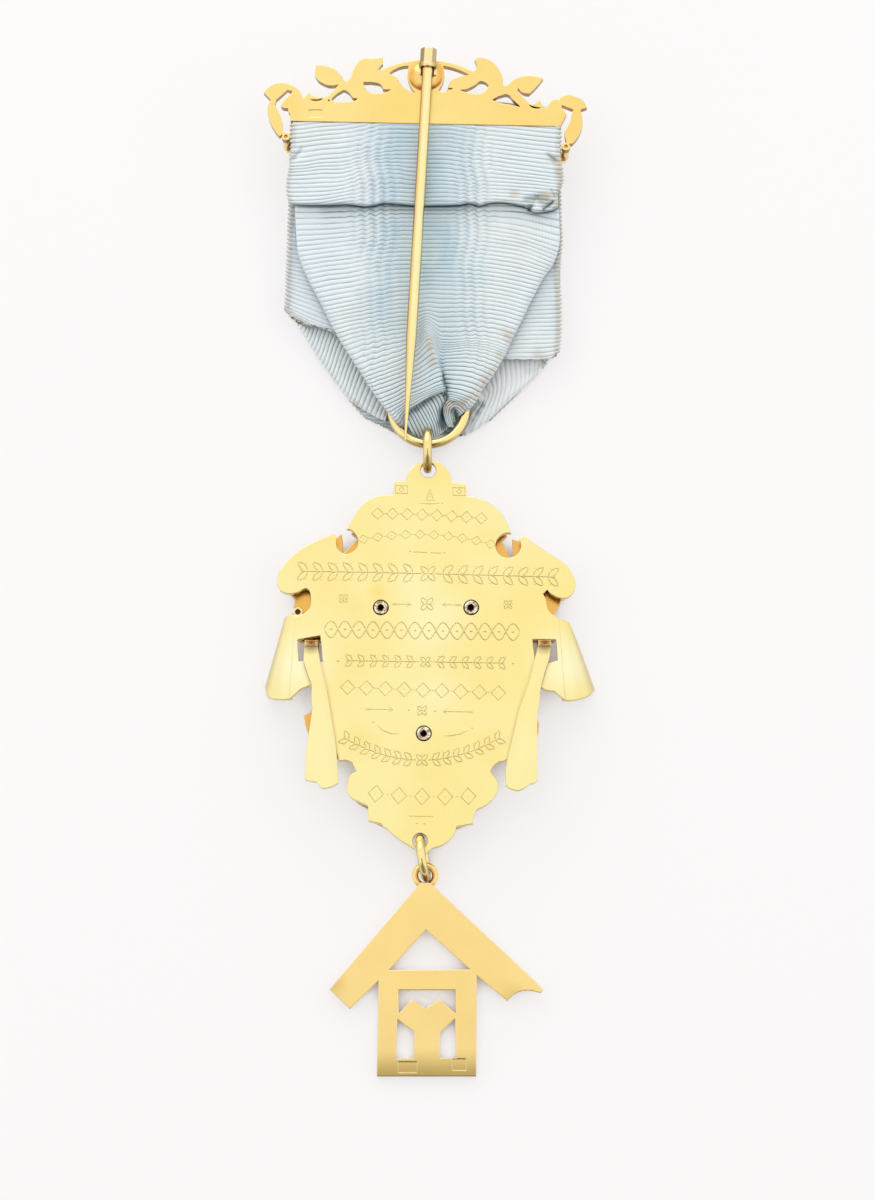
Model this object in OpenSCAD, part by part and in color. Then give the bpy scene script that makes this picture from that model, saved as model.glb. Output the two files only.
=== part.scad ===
// A lodge officer's breast jewel lying face down: pierced bar with pin, folded ribbon, rings,
// two-layer cartouche and a cut pendant. Millimetres, +Z up out of the back of the jewel, +Y towards the bar.

/* [Node] */
// Which piece to build

/* [Brooch bar] */
// Thickness of the pierced bar
bar_t = 1.2; // [0.8:0.1:1.2]
// Length of the pin from the socket mouth to its point
pin_len = 54.5; // [48:0.5:56]
// Radius of the pin
pin_r = 0.75; // [0.6:0.05:0.8]

/* [Ribbon] */
// Thickness of each cloth layer
cloth_t = 1.0; // [1:0.05:1.1]
// Length of the top band below the bar
band_len = 12; // [10:0.5:14]

/* [Rings] */
// Radius of the ribbon ring to the middle of its wire
ring_r = 5.25; // [5:0.05:5.4]
// Radius of the ribbon ring's wire
ring_wire = 0.65; // [0.5:0.05:0.65]
// Radius of both jump rings to the middle of their wire
jump_r = 2.7; // [2.6:0.05:2.75]
// Radius of the jump rings' wire
jump_wire = 0.6; // [0.45:0.05:0.6]

/* [Cartouche] */
// Thickness of the back plate
plate_t = 0.9; // [0.7:0.05:1]
// Thickness of the front frame
frame_t = 0.9; // [0.7:0.05:1]
// Thickness of the front disc
disc_t = 1.0; // [0.8:0.1:1.1]
// Radius of the front disc
disc_r = 12; // [10:0.5:13]
// Outer radius of the tube rivets
rivet_r = 0.95; // [0.8:0.05:1]

/* [Pendant] */
// Thickness of the pendant sheet
pend_t = 1.0; // [0.7:0.1:1]
// Slope of the pendant from its base up to its loop, degrees
pend_tilt = 3; // [2.5:0.1:3.2]

/* [Hidden] */
$fn = 48;

// heights of the lying layers
bar_z = 5.0;                       // underside of the bar
bar_top = bar_z + bar_t;
axis_z = 8.0;                      // pin axis at the socket mouth
lay_e = 0;                         // front layer of the ribbon
lay_d = 1.2;                       // folded-back corners
lay_c = 2.4;                       // cut tail
lay_b = 3.95;                      // back point
lay_a = 5.15;                      // top band
ring_z = 3.1;                      // ribbon ring
plate_z = 3.4;                     // underside of the back plate
plate_top = plate_z + plate_t;
over_plate = plate_top + 0.1;      // the strips stay above this where they cross the plate
frame_z = 1.3;                     // underside of the front frame
frame_top = frame_z + frame_t;
jump_z = 3.85;                     // upper jump ring
low_z = 3.35;                      // lower jump ring

gold = [0.93, 0.76, 0.40];
pale_gold = [0.95, 0.84, 0.52];
steel = [0.80, 0.80, 0.76];
blue = [0.75, 0.84, 0.88];

// points on the arc from p to q that bows out to the left by b
function arc_pts(p, q, b) =
    abs(b) < 0.02 ? [p] :
    let (d = q - p, c = norm(d), r = (c * c / 4 + b * b) / (2 * b),
         u = d / c, v = [-u[1], u[0]], m = (p + q) / 2 - v * (r - b),
         a0 = atan2((p - m)[1], (p - m)[0]), sw = 2 * asin(min(1, c / 2 / abs(r))) * (b > 0 ? -1 : 1),
         s = abs(b) > c / 2 ? (b > 0 ? -360 - sw : 360 - sw) : sw, n = max(2, ceil(abs(s) / 12), ceil(c / 1.2)))
    [for (i = [0 : n - 1]) m + abs(r) * [cos(a0 + s * i / n), sin(a0 + s * i / n)]];

// closed outline from rows [x, y, bow of the edge to the next row]
function outline_pts(t) = [for (i = [0 : len(t) - 1])
    each arc_pts([t[i][0], t[i][1]], [t[(i + 1) % len(t)][0], t[(i + 1) % len(t)][1]], t[i][2])];

module outline(t) polygon(outline_pts(t));
module sheet(z, h) translate([0, 0, z]) linear_extrude(h) children();

// ---- brooch bar: outline walked clockwise, [x, y, outward bow] ----
bar_edge = [
    // left end: plate corner, notch, opening under the upper leaf
    [-19.75, 63.8, 0], [-19.85, 64.9, 0.1], [-20.1, 65.7, 0.1], [-21.0, 65.9, 0.1], [-21.1, 66.4, 0],
    [-20.6, 67.1, 0], [-19.6, 68, 0], [-19.6, 68.4, 0.1], [-20.2, 68.5, 0], [-21.8, 67, 0],
    // hanging leaf on the left
    [-22.0, 66.2, 0.1], [-20.9, 63.6, 0], [-20.8, 62, 0], [-21.3, 61.5, 0.3], [-23.0, 65, 0.2],
    // upper leaf on the left
    [-22.6, 67, 0], [-23.6, 68.1, 0.7], [-20.1, 69.4, 0.4], [-18.0, 67.2, 0],
    // little spur, stem and second leaf
    [-17.3, 68, -0.3], [-14.6, 67.5, -0.1], [-12.9, 69.3, 0.3], [-15.2, 69.5, 0.2], [-16.3, 70.8, 0],
    [-16.2, 72.2, 0.2], [-13.6, 71.7, 0.1], [-11.9, 69.6, 0],
    // big leaf left of the rim arc
    [-11.1, 70.5, 0.1], [-10.4, 72.4, 0.4], [-8.2, 73.2, 0], [-6.6, 73.4, 0], [-6.6, 72.4, -0.1],
    [-7.3, 71.4, 0], [-6.6, 71.6, 1.6],
    // rim arc, then the big leaf on its right
    [6.3, 71.2, 0], [6.8, 71.7, -0.1], [6.5, 73, 0], [6.9, 73.4, 0.5], [9.9, 71.7, 0.2], [10.6, 69.2, -0.1],
    // second leaf on the right
    [11.2, 69.2, 0], [12.2, 70.1, 0.5], [16.3, 70.2, 0.1], [14.3, 67.9, 0.3], [12.7, 68.8, 0],
    // stem, little spur, end leaves
    [12.6, 68.2, 0], [14.2, 66.5, -0.2], [15.2, 66.5, 0], [15.8, 66.9, 0.1], [16.1, 65.8, 0], [17.0, 65.9, 0.1],
    [17.5, 66.9, 0.1], [18.6, 67, 0.1], [19.2, 67.6, 0.2], [20.7, 67.5, 0.4], [22.5, 65.8, 0], [21.6, 65.5, 0.1],
    // hanging leaf on the right and the plate's end
    [21.9, 63.4, 0.3], [20.4, 60.4, 0.1], [19.6, 60.6, 0.1], [19.3, 62.3, -0.1], [20.3, 64.3, 0.1],
    [20.6, 65.5, 0], [18.9, 66.2, 0], [19.0, 65.7, 0], [19.6, 64.8, 0], [19.3, 64.2, 0], [18.7, 63.0, 0]];

// openings cut through the bar, each walked clockwise
bar_holes = [
    [[-17.0, 67.05, -0.1], [-15.1, 67.2, 0.35]],
    [[-13.9, 67.2, 0.1], [-12.2, 68.5, 0.2], [-11.0, 67.4, -0.1], [-10.2, 67.2, 0.1], [-10.9, 66.8, 0.1], [-13.5, 66.7, 0.1]],
    [[-9.4, 69.6, 0.1], [-7.3, 69.5, 0.2], [-6.6, 68.6, -0.1], [-5.4, 68.6, 0.1], [-6.6, 68, 0.1], [-8.5, 68.1, 0.2]],
    [[-5.7, 71, 0.3], [-2.9, 72.1, -0.6], [-1.9, 68, 0.1], [-3.6, 68.8, 0.1], [-4.4, 70, -0.1]],
    [[2.0, 72.1, 0.2], [5.8, 70.7, -0.1], [4.2, 70.4, -0.3], [2.8, 69.2, 0], [2.5, 68.2, 0.1], [1.3, 68.4, -0.5]],
    [[2.6, 68.7, 0.05], [3.4, 68.7, 0.2]],
    [[4.4, 68.5, -0.1], [5.6, 68.7, -0.1], [7.1, 69.7, 0.3], [8.5, 69.1, 0.2], [7.3, 67.9, 0.1], [6.0, 68, 0.1]],
    [[9.0, 67, 0.1], [10.8, 67.8, 0.2], [11.8, 67.2, 0], [13.1, 65.9, 0], [11.5, 66.3, 0.1], [9.7, 66.7, 0]],
    [[14.2, 66.3, -0.1], [16.0, 65.8, 0.35]]];

// the pin's own direction: +z runs from the socket mouth to the point
module along_pin() translate([-0.2, 71.15, axis_z]) rotate([92.1, 0, -3.3]) children();

module brooch_bar() color(gold) difference() {
    union() {
        // domed boss that carries the pin socket
        intersection() {
            translate([-0.4, 70.75, bar_z]) cylinder(h = bar_t + 1.4, r = 2.4);
            translate([-0.4, 70.75, bar_top - 2.6]) sphere(r = 3.5);
        }
        sheet(bar_z, bar_t) difference() {
            union() {
                outline(bar_edge);
                translate([-20.4, 61.5]) circle(r = 0.6);
                translate([19.5, 60.0]) circle(r = 0.6);
            }
            for (h = bar_holes) outline(h);
            translate([-14.3, 66.9]) circle(r = 0.16);
        }
        // seat of the pin socket on the domed boss
        translate([-0.9, 71.3, bar_z]) cube([1.3, 1.8, 2.4]);
        // ribbon rail and its two end posts
        translate([-20.4, 61.5, 1.3]) cylinder(h = 4.3, r = 0.5);
        translate([19.5, 60.0, 1.3]) cylinder(h = 4.3, r = 0.5);
        translate([-20.4, 61.5, 1.3]) rotate([0, 0, -2.1]) translate([0, -0.8, 0]) cube([40, 1.4, 0.8]);
        // pin socket: six-sided tube with a round mouth
        along_pin() {
            translate([0, 0, -2.8]) cylinder(h = 2.6, r = 1.15, $fn = 6);
            translate([0, 0, -0.6]) cylinder(h = 0.6, r = 1.3);
            // lower lip of the mouth
            intersection() {
                translate([0.1, 0, -0.1]) cylinder(h = 1.1, r = 1.2);
                translate([-2, -2, -1]) cube([4, 2, 4]);
            }
        }
    }
    // socket bore, dimples of the end posts, sunk mark field
    along_pin() translate([0, 0, -2.0]) cylinder(h = 4, r = pin_r + 0.15);
    translate([-20.4, 61.5, 5.9]) cylinder(h = 1, r = 0.25);
    translate([19.5, 60.0, 5.9]) cylinder(h = 1, r = 0.25);
    translate([-17.2, 64.4, bar_top - 0.05]) cube([2.0, 1.1, 1]);
}

module pin() color(gold) along_pin() {
    translate([0, 0, -1.8]) cylinder(h = pin_len - 13.2, r = pin_r);
    translate([0, 0, pin_len - 15]) cylinder(h = 15, r1 = pin_r, r2 = 0.12);
}

// ---- ribbon: five lying layers of one cloth ----
front_edge = [[-19.5, 63.7, 0], [18.6, 62.8, 0], [18.7, 46, 0], [18.2, 33, 0], [16.4, 29.4, 0.4], [12.6, 25.3, 0.3],
              [8.9, 21.6, 0], [5.2, 19.4, 0.2], [3.0, 18.7, 0.2], [-3.2, 18.7, 0.2], [-5.9, 20.1, 0], [-9.3, 21.7, 0],
              [-11.1, 23.8, 0], [-18.3, 34.7, 0], [-20.0, 37, 0], [-20.0, 52, 0]];
left_corner = [[-18.3, 34.7, 0], [-15.0, 37.0, 0], [-8.5, 33.0, 0], [-3.5, 23.0, 0], [-5.9, 20.1, 0], [-9.3, 21.7, 0], [-11.1, 23.8, 0]];
right_corner = [[16.4, 29.4, 0.4], [12.6, 25.3, 0.3], [8.9, 21.6, 0], [5.2, 19.4, 0], [2.8, 23.0, 0], [7.5, 32.0, 0], [14.0, 34.0, 0]];
tail_edge = [[-19.5, 63.7, 0], [18.6, 62.8, 0], [18.2, 52, 0], [18.0, 30.0, 0.2], [16.0, 29.2, 0], [10.6, 29.7, 0],
             [-13.2, 33.2, 0], [-17.2, 34.4, 0], [-20.0, 35.7, 0], [-20.0, 52, 0]];
back_edge = [[-19.5, 63.7, 0], [18.6, 62.8, 0], [18.7, 46.7, 0.2], [17.8, 44.0, 0], [11.9, 32.3, 0.3], [5.9, 22.3, 0],
             [3.4, 20.0, 0], [2.9, 20.6, 0], [2.3, 23.6, 0.3], [-1.9, 21.6, 0], [-3.4, 19.6, 0], [-6.0, 21.5, 0],
             [-12.4, 31.7, 0.2], [-18.5, 43.9, 0], [-18.8, 51.6, 0]];
band_edge = [[-19.5, 63.7, 0], [18.6, 62.8, 0], [18.6, 62.9 - band_len, 0.3], [15.6, 62.8 - band_len, 0],
             [-19.6, 63.3 - band_len, 0]];

module folded_corner(t, side) {
    sheet(lay_d, cloth_t) outline(t);
    // the turn of the fold, down to the front layer
    sheet(lay_e + cloth_t - 0.1, lay_d - cloth_t + 0.2) intersection() {
        outline(t);
        difference() { outline(front_edge); translate([-0.7 * side, 0.7]) outline(front_edge); }
    }
}

module ribbon() color(blue) difference() {
    union() {
        sheet(lay_e, cloth_t) outline(front_edge);
        folded_corner(left_corner, -1);
        folded_corner(right_corner, 1);
        sheet(lay_c, cloth_t) outline(tail_edge);
        sheet(lay_b, cloth_t) outline(back_edge);
        sheet(lay_a, cloth_t) outline(band_edge);
        // turn over the rail at the top
        sheet(lay_e, lay_a + cloth_t) polygon([[-19.5, 62.6], [-19.5, 63.7], [18.6, 62.8], [18.6, 61.7]]);
        // turn through the ring at the point, and the tuck behind the back point
        sheet(lay_e, lay_b + 0.5) polygon([[-3.4, 20.1], [-2.7, 19.4], [2.7, 19.4], [3.4, 20.4], [2.2, 20.2], [-2.2, 20.1]]);
        // stitched tack under the right end of the band
        sheet(lay_b + cloth_t - 0.1, 0.5) polygon([[15.6, 51.4], [18.0, 51.3], [17.8, 52.8], [16.0, 52.6]]);
    }
    // long crease of the back point and the valley of its central fold
    translate([0, 0, lay_b + cloth_t - 0.3]) linear_extrude(1) outline([[-0.2, 34.0, 0.1], [2.3, 23.8, 0], [1.6, 24.2, 0], [-0.6, 33.6, 0]]);
    // tuck at the left edge of the band
    translate([0, 0, lay_a + cloth_t - 0.3]) linear_extrude(1) polygon([[-19.8, 57.2], [-18.4, 59.0], [-18.4, 58.6], [-19.6, 56.8]]);
}

// ---- rings ----
module wire_ring(r, w) rotate_extrude() translate([r, 0]) circle(r = w);
module ribbon_ring() color(gold) translate([-0.05, 22.25, ring_z]) wire_ring(ring_r, ring_wire);
module upper_jump_ring() color(gold) translate([-0.2, 15.9, jump_z]) rotate([0, 90, 0]) wire_ring(jump_r, jump_wire);
module lower_jump_ring() color(gold) translate([-0.75, -42.15, low_z]) rotate([0, 0, 8]) rotate([0, 84, 0]) wire_ring(jump_r, jump_wire);

// ---- jewel plate: outline walked clockwise, [x, y, outward bow] ----
plate_edge = [
    [-5.1, 9.2, 0], [-4.8, 11.3, 0], [-3.2, 11.3, 3.1], [3.2, 11.1, 0], [5.2, 10.9, 0], [5.3, 9.1, 1.4], [11.4, 3.9, 0],
    [12.3, 2.6, 0], [13.2, 3.4, -0.1], [18.3, -0.1, 0.4], [20.5, -3.4, 0.4], [19.2, -5.55, 0.2], [17.4, -5.15, 0.1],
    [16.5, -4.3, 0.05], [15.9, -4.9, 0], [16.2, -5.5, 0], [16.55, -7.1, 0], [16.95, -7.7, 0], [17.7, -8.2, 0], [18.1, -8.4, 0], [18.9, -20.1, 0], [17.4, -18.8, 0.2],
    [15.4, -18.2, 0], [13.2, -22.0, 0], [11.0, -28.4, 0.1], [9.7, -28.8, -0.2], [8.5, -30.2, 0], [9.1, -31.0, 0.5], [9.1, -33.6, 0.3],
    [6.6, -35.5, -0.2], [6.1, -37.5, 0], [3.8, -37.9, 0], [3.5, -38.9, 0.4], [0.6, -40.9, -0.1], [-0.6, -41.9, 0.1],
    [-1.2, -41.8, -0.1], [-2.4, -40.7, 0.2], [-5.7, -38.2, 0.1], [-6.5, -37.5, 0], [-8.3, -37.1, 0], [-8.4, -35.0, 0],
    [-10.3, -34.1, 0.5], [-11.2, -31.6, 0.3], [-10.0, -30.2, 0], [-10.6, -28.9, -0.2], [-12.4, -28.7, 0],
    [-14.0, -23.5, 0], [-15.6, -19.0, 0], [-16.5, -18.0, 0], [-17.8, -18.5, 0], [-19.4, -20.0, 0], [-18.6, -8.2, 0],
    [-17.3, -7.7, -0.05], [-16.55, -6.9, -0.15], [-16.6, -4.6, -0.1], [-17.2, -4.15, 0], [-17.7, -4.35, 0.1], [-18.9, -4.9, 0.2], [-20.7, -4.5, 0],
    [-21.2, -3.6, 0.3], [-20.4, -1.0, 0.4], [-16.0, 2.5, 0], [-13.3, 3.7, 0], [-12.6, 2.6, 0], [-11.4, 4.5, 0], [-10.3, 6.5, 1.0]];

roll_left = [[-18.2, -8.0, 0], [-19.0, -19.9, 0.1], [-21.2, -19.8, 0.2], [-22.5, -18.9, 0.2], [-22.7, -17.0, 0], [-20.1, -8.1, 0.1]];
roll_right = [[17.7, -8.3, 0], [19.6, -8.9, 0], [22.0, -14.0, 0.05], [23.0, -16.8, 0.3], [22.8, -18.2, 0.2], [21.2, -19.6, 0.2], [18.5, -20.0, 0]];

// open eye of the left scroll, walked clockwise
eye_left = [[-13.0, 2.6, 0.5], [-11.5, 4.35, 0.5], [-9.9, 2.6, 0.5], [-11.5, 0.75, 0.5]];

// sheet rolled round a slanting line p-q; its crown stands at height z over that line
module roll(p, q, r1, r2, t, z, cut) {
    len = norm(q - p);
    th = 90 + atan((r2 - r1) / len);
    ps = atan2((q - p)[1], (q - p)[0]);
    k = cos(th - 90);
    s = (r2 - r1) / len;
    translate([p[0], p[1], z - r1]) rotate([0, th, ps]) intersection() {
        difference() {
            translate([0, 0, -1]) cylinder(h = len / k + 2, r1 = (r1 - s) * k, r2 = (r2 + s) * k);
            translate([0, 0, -1.2]) cylinder(h = len / k + 2.4, r1 = (r1 - 1.2 * s) * k - t, r2 = (r2 + 1.2 * s) * k - t);
        }
        translate([-r2 * 2 - cut, -r2 * 2, -3]) cube([r2 * 2, r2 * 4, len + 6]);
    }
}

module jewel_plate() color(pale_gold) {
    sheet(plate_z, plate_t) difference() {
        outline(plate_edge);
        translate([-0.1, 12.9]) circle(r = 1.1);
        translate([-1.2, -39.85]) circle(r = 1.05);
        outline(eye_left);
        translate([11.1, 2.0]) circle(r = 1.8);
        polygon([[-18.3, -11.5], [-15.1, -10.9], [-14.8, -14.7], [-18.1, -14.6]]);
        polygon([[14.4, -11.45], [17.7, -11.5], [17.9, -14.5], [14.9, -15.1]]);
        for (p = rivets) translate([p[0], p[1]]) circle(r = rivet_r + 0.15);
    }
    // the two rolled side scrolls
    intersection() {
        roll([-18.6, -8], [-19.4, -20], 1.6, 4.3, plate_t - 0.05, plate_top + 0.02, 0.06);
        sheet(0, 8) outline(roll_left);
    }
    intersection() {
        roll([18.1, -8.3], [18.9, -20.1], 1.6, 5.4, plate_t - 0.05, plate_top + 0.02, 0.06);
        sheet(0, 8) outline(roll_right);
    }
}

// ---- front frame with the two strips that come back through the slots ----
frame_edge = [
    [-5.0, 8.8, 0], [5.0, 8.6, 1.3], [11.0, 3.9, 0], [10.2, 3.2, 0], [11.3, 0.8, 0], [11.8, 0.9, 0], [11.7, 3.4, 0], [13.3, 3.0, 0],
    [18.0, -0.6, 0.4], [20.0, -3.6, 0.3], [18.5, -5.4, 0], [18.3, -6.1, 0], [17.6, -7.2, 0], [17.4, -8.4, 0], [17.6, -11.3, 0], [17.1, -11.4, 0],
    [17.0, -12.4, 0], [15.2, -12.4, 0], [15.1, -11.4, 0], [14.2, -11.3, 0], [14.6, -15.4, 0], [14.0, -19.5, 0], [14.9, -21.8, 0],
    [15.3, -23.0, 0.2], [14.8, -25.4, 0], [12.6, -27.6, 0], [9.6, -28.0, -0.2], [8.0, -30.0, 0], [8.8, -31.6, 0], [8.7, -32.8, 0.4], [5.8, -35.6, 0], [5.4, -37.2, 0],
    [2.8, -38.2, 0], [-4.6, -38.3, 0], [-7.6, -36.9, 0], [-8.1, -35.2, 0], [-9.8, -34.2, 0.4], [-10.8, -31.6, 0], [-9.5, -30.2, 0], [-10.4, -28.2, 0.1],
    [-12.8, -27.9, 0], [-16.2, -25.6, 0.2], [-17.4, -21.9, 0], [-16.2, -21.2, 0], [-14.5, -19.5, 0], [-14.5, -11.2, 0], [-15.3, -11.3, 0],
    [-15.4, -12.4, 0], [-17.3, -12.4, 0], [-17.4, -11.4, 0], [-18.2, -11.2, 0], [-19.2, -8.0, 0], [-18.7, -5.2, 0],
    [-20.2, -3.8, 0.4], [-18.6, -0.8, 0.3], [-13.6, 3.0, 0], [-12.3, 4.2, 0.2], [-12.2, 1.2, 0], [-9.9, 3.5, 0], [-10.9, 4.2, 1.2]];

strip_left = [[-17.3, -12.5, 0], [-15.5, -12.5, 0], [-15.0, -15.3, 0], [-14.1, -19.1, 0], [-13.0, -25.5, 0.1], [-12.5, -31.9, 0.2],
              [-14.6, -32.8, 0.1], [-15.4, -31.9, 0.1], [-17.1, -31.4, 0], [-17.0, -28.0, 0], [-16.1, -21.5, 0.1], [-16.2, -18.3, 0], [-17.4, -14.8, 0]];
strip_right = [[15.2, -12.5, 0], [17.0, -12.5, 0], [16.7, -14.5, -0.1], [15.4, -19.2, 0.1], [15.0, -22.2, 0], [15.0, -31.4, 0.2], [14.0, -32.1, 0.1],
               [12.4, -33.1, 0.2], [10.6, -32.2, 0.1], [10.8, -28.7, 0], [12.5, -21.5, 0], [14.0, -17.4, 0]];

module strip_root(x, w) {
    translate([x - w / 2, -12.4, frame_z]) cube([w, 0.8, 4.5 - frame_z]);
    translate([x + w / 2, -12.8, 4.5]) rotate([0, 0, 90]) rotate([90, 0, 0])
        mirror([0, 0, 1]) rotate_extrude(angle = 90) translate([0.4, 0]) square([0.8, w]);
}

module strap_frame() color(gold) difference() {
    union() {
        sheet(frame_z, frame_t) outline(frame_edge);
        strip_root(-16.35, 1.8);
        strip_root(16.1, 1.8);
        difference() {
            intersection() {
                roll([-16.4, -12.7], [-14.8, -32.5], 3.0, 4.6, 0.8, 5.72, 1.2);
                sheet(3, 5) outline(strip_left);
            }
            sheet(2, over_plate - 2) polygon([[-15.2, -17.8], [-15.2, -19.6], [-14.3, -23.4], [-12.6, -29.2], [-9, -29.2], [-9, -17.8]]);
        }
        difference() {
            intersection() {
                roll([16.1, -12.7], [12.8, -32.7], 3.0, 4.6, 0.8, 5.72, 1.2);
                sheet(3, 5) outline(strip_right);
            }
            sheet(2, over_plate - 2) polygon([[9, -18.8], [14.2, -18.8], [13.3, -22.4], [11.45, -28.2], [11.0, -29.2], [9, -29.2]]);
        }
        // spacers round the rivets and the small curled end by the left ear
        for (p = rivets) translate([p[0], p[1], frame_z]) cylinder(h = plate_z - 0.25 - frame_z, r = 1.8);
        translate([-18.3, -7.3, frame_z]) cylinder(h = 2.0, r = 0.7);
    }
    for (p = rivets) translate([p[0], p[1], 0]) cylinder(h = 5, r = rivet_r + 0.15);
    translate([-18.3, -7.3, 2.4]) cylinder(h = 2, r = 0.4);
}

// ---- front disc and rivets ----
rivets = [[-6.7, -6.9], [5.9, -6.9], [-0.7, -24.8]];
module front_disc() color(gold) difference() {
    translate([-0.4, -14, 0]) cylinder(h = disc_t, r = disc_r);
    for (p = rivets) translate([p[0], p[1], 0.3]) cylinder(h = 3, r = rivet_r + 0.15);
}
module rivet(p) color(steel) translate([p[0], p[1], 0.4]) difference() {
    cylinder(h = plate_top + 0.1 - 0.4, r = rivet_r);
    translate([0, 0, 0.4]) cylinder(h = 6, r = rivet_r - 0.55);
}
module rivet_left() rivet(rivets[0]);
module rivet_right() rivet(rivets[1]);
module rivet_low() rivet(rivets[2]);

// ---- pendant: y runs up from the base to the tip, where a wire loop is soldered on ----
pend_edge = [[-1.45, 26.15, 0], [-0.9, 26.65, 0], [-0.1, 26.65, 0], [0.55, 26.15, 0], [14.5, 13.1, 0], [15.7, 11.8, 0.1],
             [15.3, 11.4, -0.05], [13.6, 11.75, -0.4], [10.8, 10.3, 0], [6.6, 13.8, 0], [6.5, 0, 0], [-7.1, 0, 0],
             [-6.9, 13.1, 0], [-10.8, 9.2, 0], [-13.6, 11.9, 0]];
module pendant() color(gold) translate([0, -71.9, 0]) rotate([pend_tilt + 1, 0, 0]) difference() {
    union() {
        linear_extrude(pend_t) difference() {
            outline(pend_edge);
            polygon([[-0.4, 20.1], [5.7, 14.6], [-5.5, 14.5]]);
            polygon([[-4.2, 11.8], [3.7, 11.8], [3.7, 8.6], [1.5, 10.5], [-0.4, 9.3], [-2.3, 10.5], [-4.1, 8.6]]);
            polygon([[-4.3, 7.8], [-2.0, 6.1], [-2.1, 2.4], [-4.5, 2.4]]);
            polygon([[3.6, 7.9], [3.8, 2.5], [1.5, 2.5], [1.6, 6.0]]);
        }
        translate([-0.5, 27.6, 0.5]) rotate_extrude() translate([1.4, 0]) circle(r = 0.45, $fn = 24);
    }
    // two shallow mark fields, left bare
    translate([-4.2, 0.5, pend_t - 0.12]) cube([2.6, 1.5, 1]);
    translate([3.2, 0.8, pend_t - 0.12]) cube([1.9, 1.6, 1]);
}

// the origin is under the middle of the whole jewel
shift = [0.2, -0.9, 0];
module lay() translate(shift) children();

lay() brooch_bar();
lay() pin();
lay() ribbon();
lay() ribbon_ring();
lay() upper_jump_ring();
lay() jewel_plate();
lay() strap_frame();
lay() front_disc();
lay() rivet_left();
lay() rivet_right();
lay() rivet_low();
lay() lower_jump_ring();
lay() pendant();
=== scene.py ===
import math
import bpy
import numpy as np
from mathutils import Vector, Matrix


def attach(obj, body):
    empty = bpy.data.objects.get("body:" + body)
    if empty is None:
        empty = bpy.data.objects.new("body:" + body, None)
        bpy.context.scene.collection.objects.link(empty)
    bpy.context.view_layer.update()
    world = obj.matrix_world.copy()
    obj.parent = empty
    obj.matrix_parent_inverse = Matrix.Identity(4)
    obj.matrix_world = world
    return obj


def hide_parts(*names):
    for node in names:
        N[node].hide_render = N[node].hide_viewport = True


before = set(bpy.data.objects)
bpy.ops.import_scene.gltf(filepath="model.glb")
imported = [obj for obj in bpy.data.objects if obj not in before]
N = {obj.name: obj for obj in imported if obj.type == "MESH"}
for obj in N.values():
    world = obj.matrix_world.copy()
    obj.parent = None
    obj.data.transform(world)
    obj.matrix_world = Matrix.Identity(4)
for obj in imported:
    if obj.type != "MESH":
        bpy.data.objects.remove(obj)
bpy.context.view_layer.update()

MM = 0.001
SH = (0.2, -0.9)          # the origin's shift, as in the part's source
RNG = np.random.default_rng(7)

# ------------------------------------------------------------------ camera
TILT = math.radians(13.0)
DIST = 624.0
FOC = 4457.0
AIM = (1.2 + SH[0], -5.3 + SH[1], 2.0)
CAM = (AIM[0], AIM[1] - DIST * math.sin(TILT), AIM[2] + DIST * math.cos(TILT))


def at(px, py, z):
    """Place, in mm, of a picture point that lies at height z."""
    u, v = px - 437.5, 600.0 - py
    d = (u, v * math.cos(TILT) + FOC * math.sin(TILT), v * math.sin(TILT) - FOC * math.cos(TILT))
    t = (z - CAM[2]) / d[2]
    return CAM[0] + t * d[0], CAM[1] + t * d[1], z


cam_data = bpy.data.cameras.new("view_camera")
cam_data.sensor_fit = "VERTICAL"
cam_data.sensor_height = 36.0
cam_data.lens = FOC / 1200.0 * 36.0
cam_data.clip_start = 0.02
cam_data.clip_end = 20.0
cam = bpy.data.objects.new("view_camera", cam_data)
cam.location = [c * MM for c in CAM]
cam.rotation_euler = (TILT, 0.0, 0.0)
bpy.context.scene.collection.objects.link(cam)
bpy.context.scene.camera = cam


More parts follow.
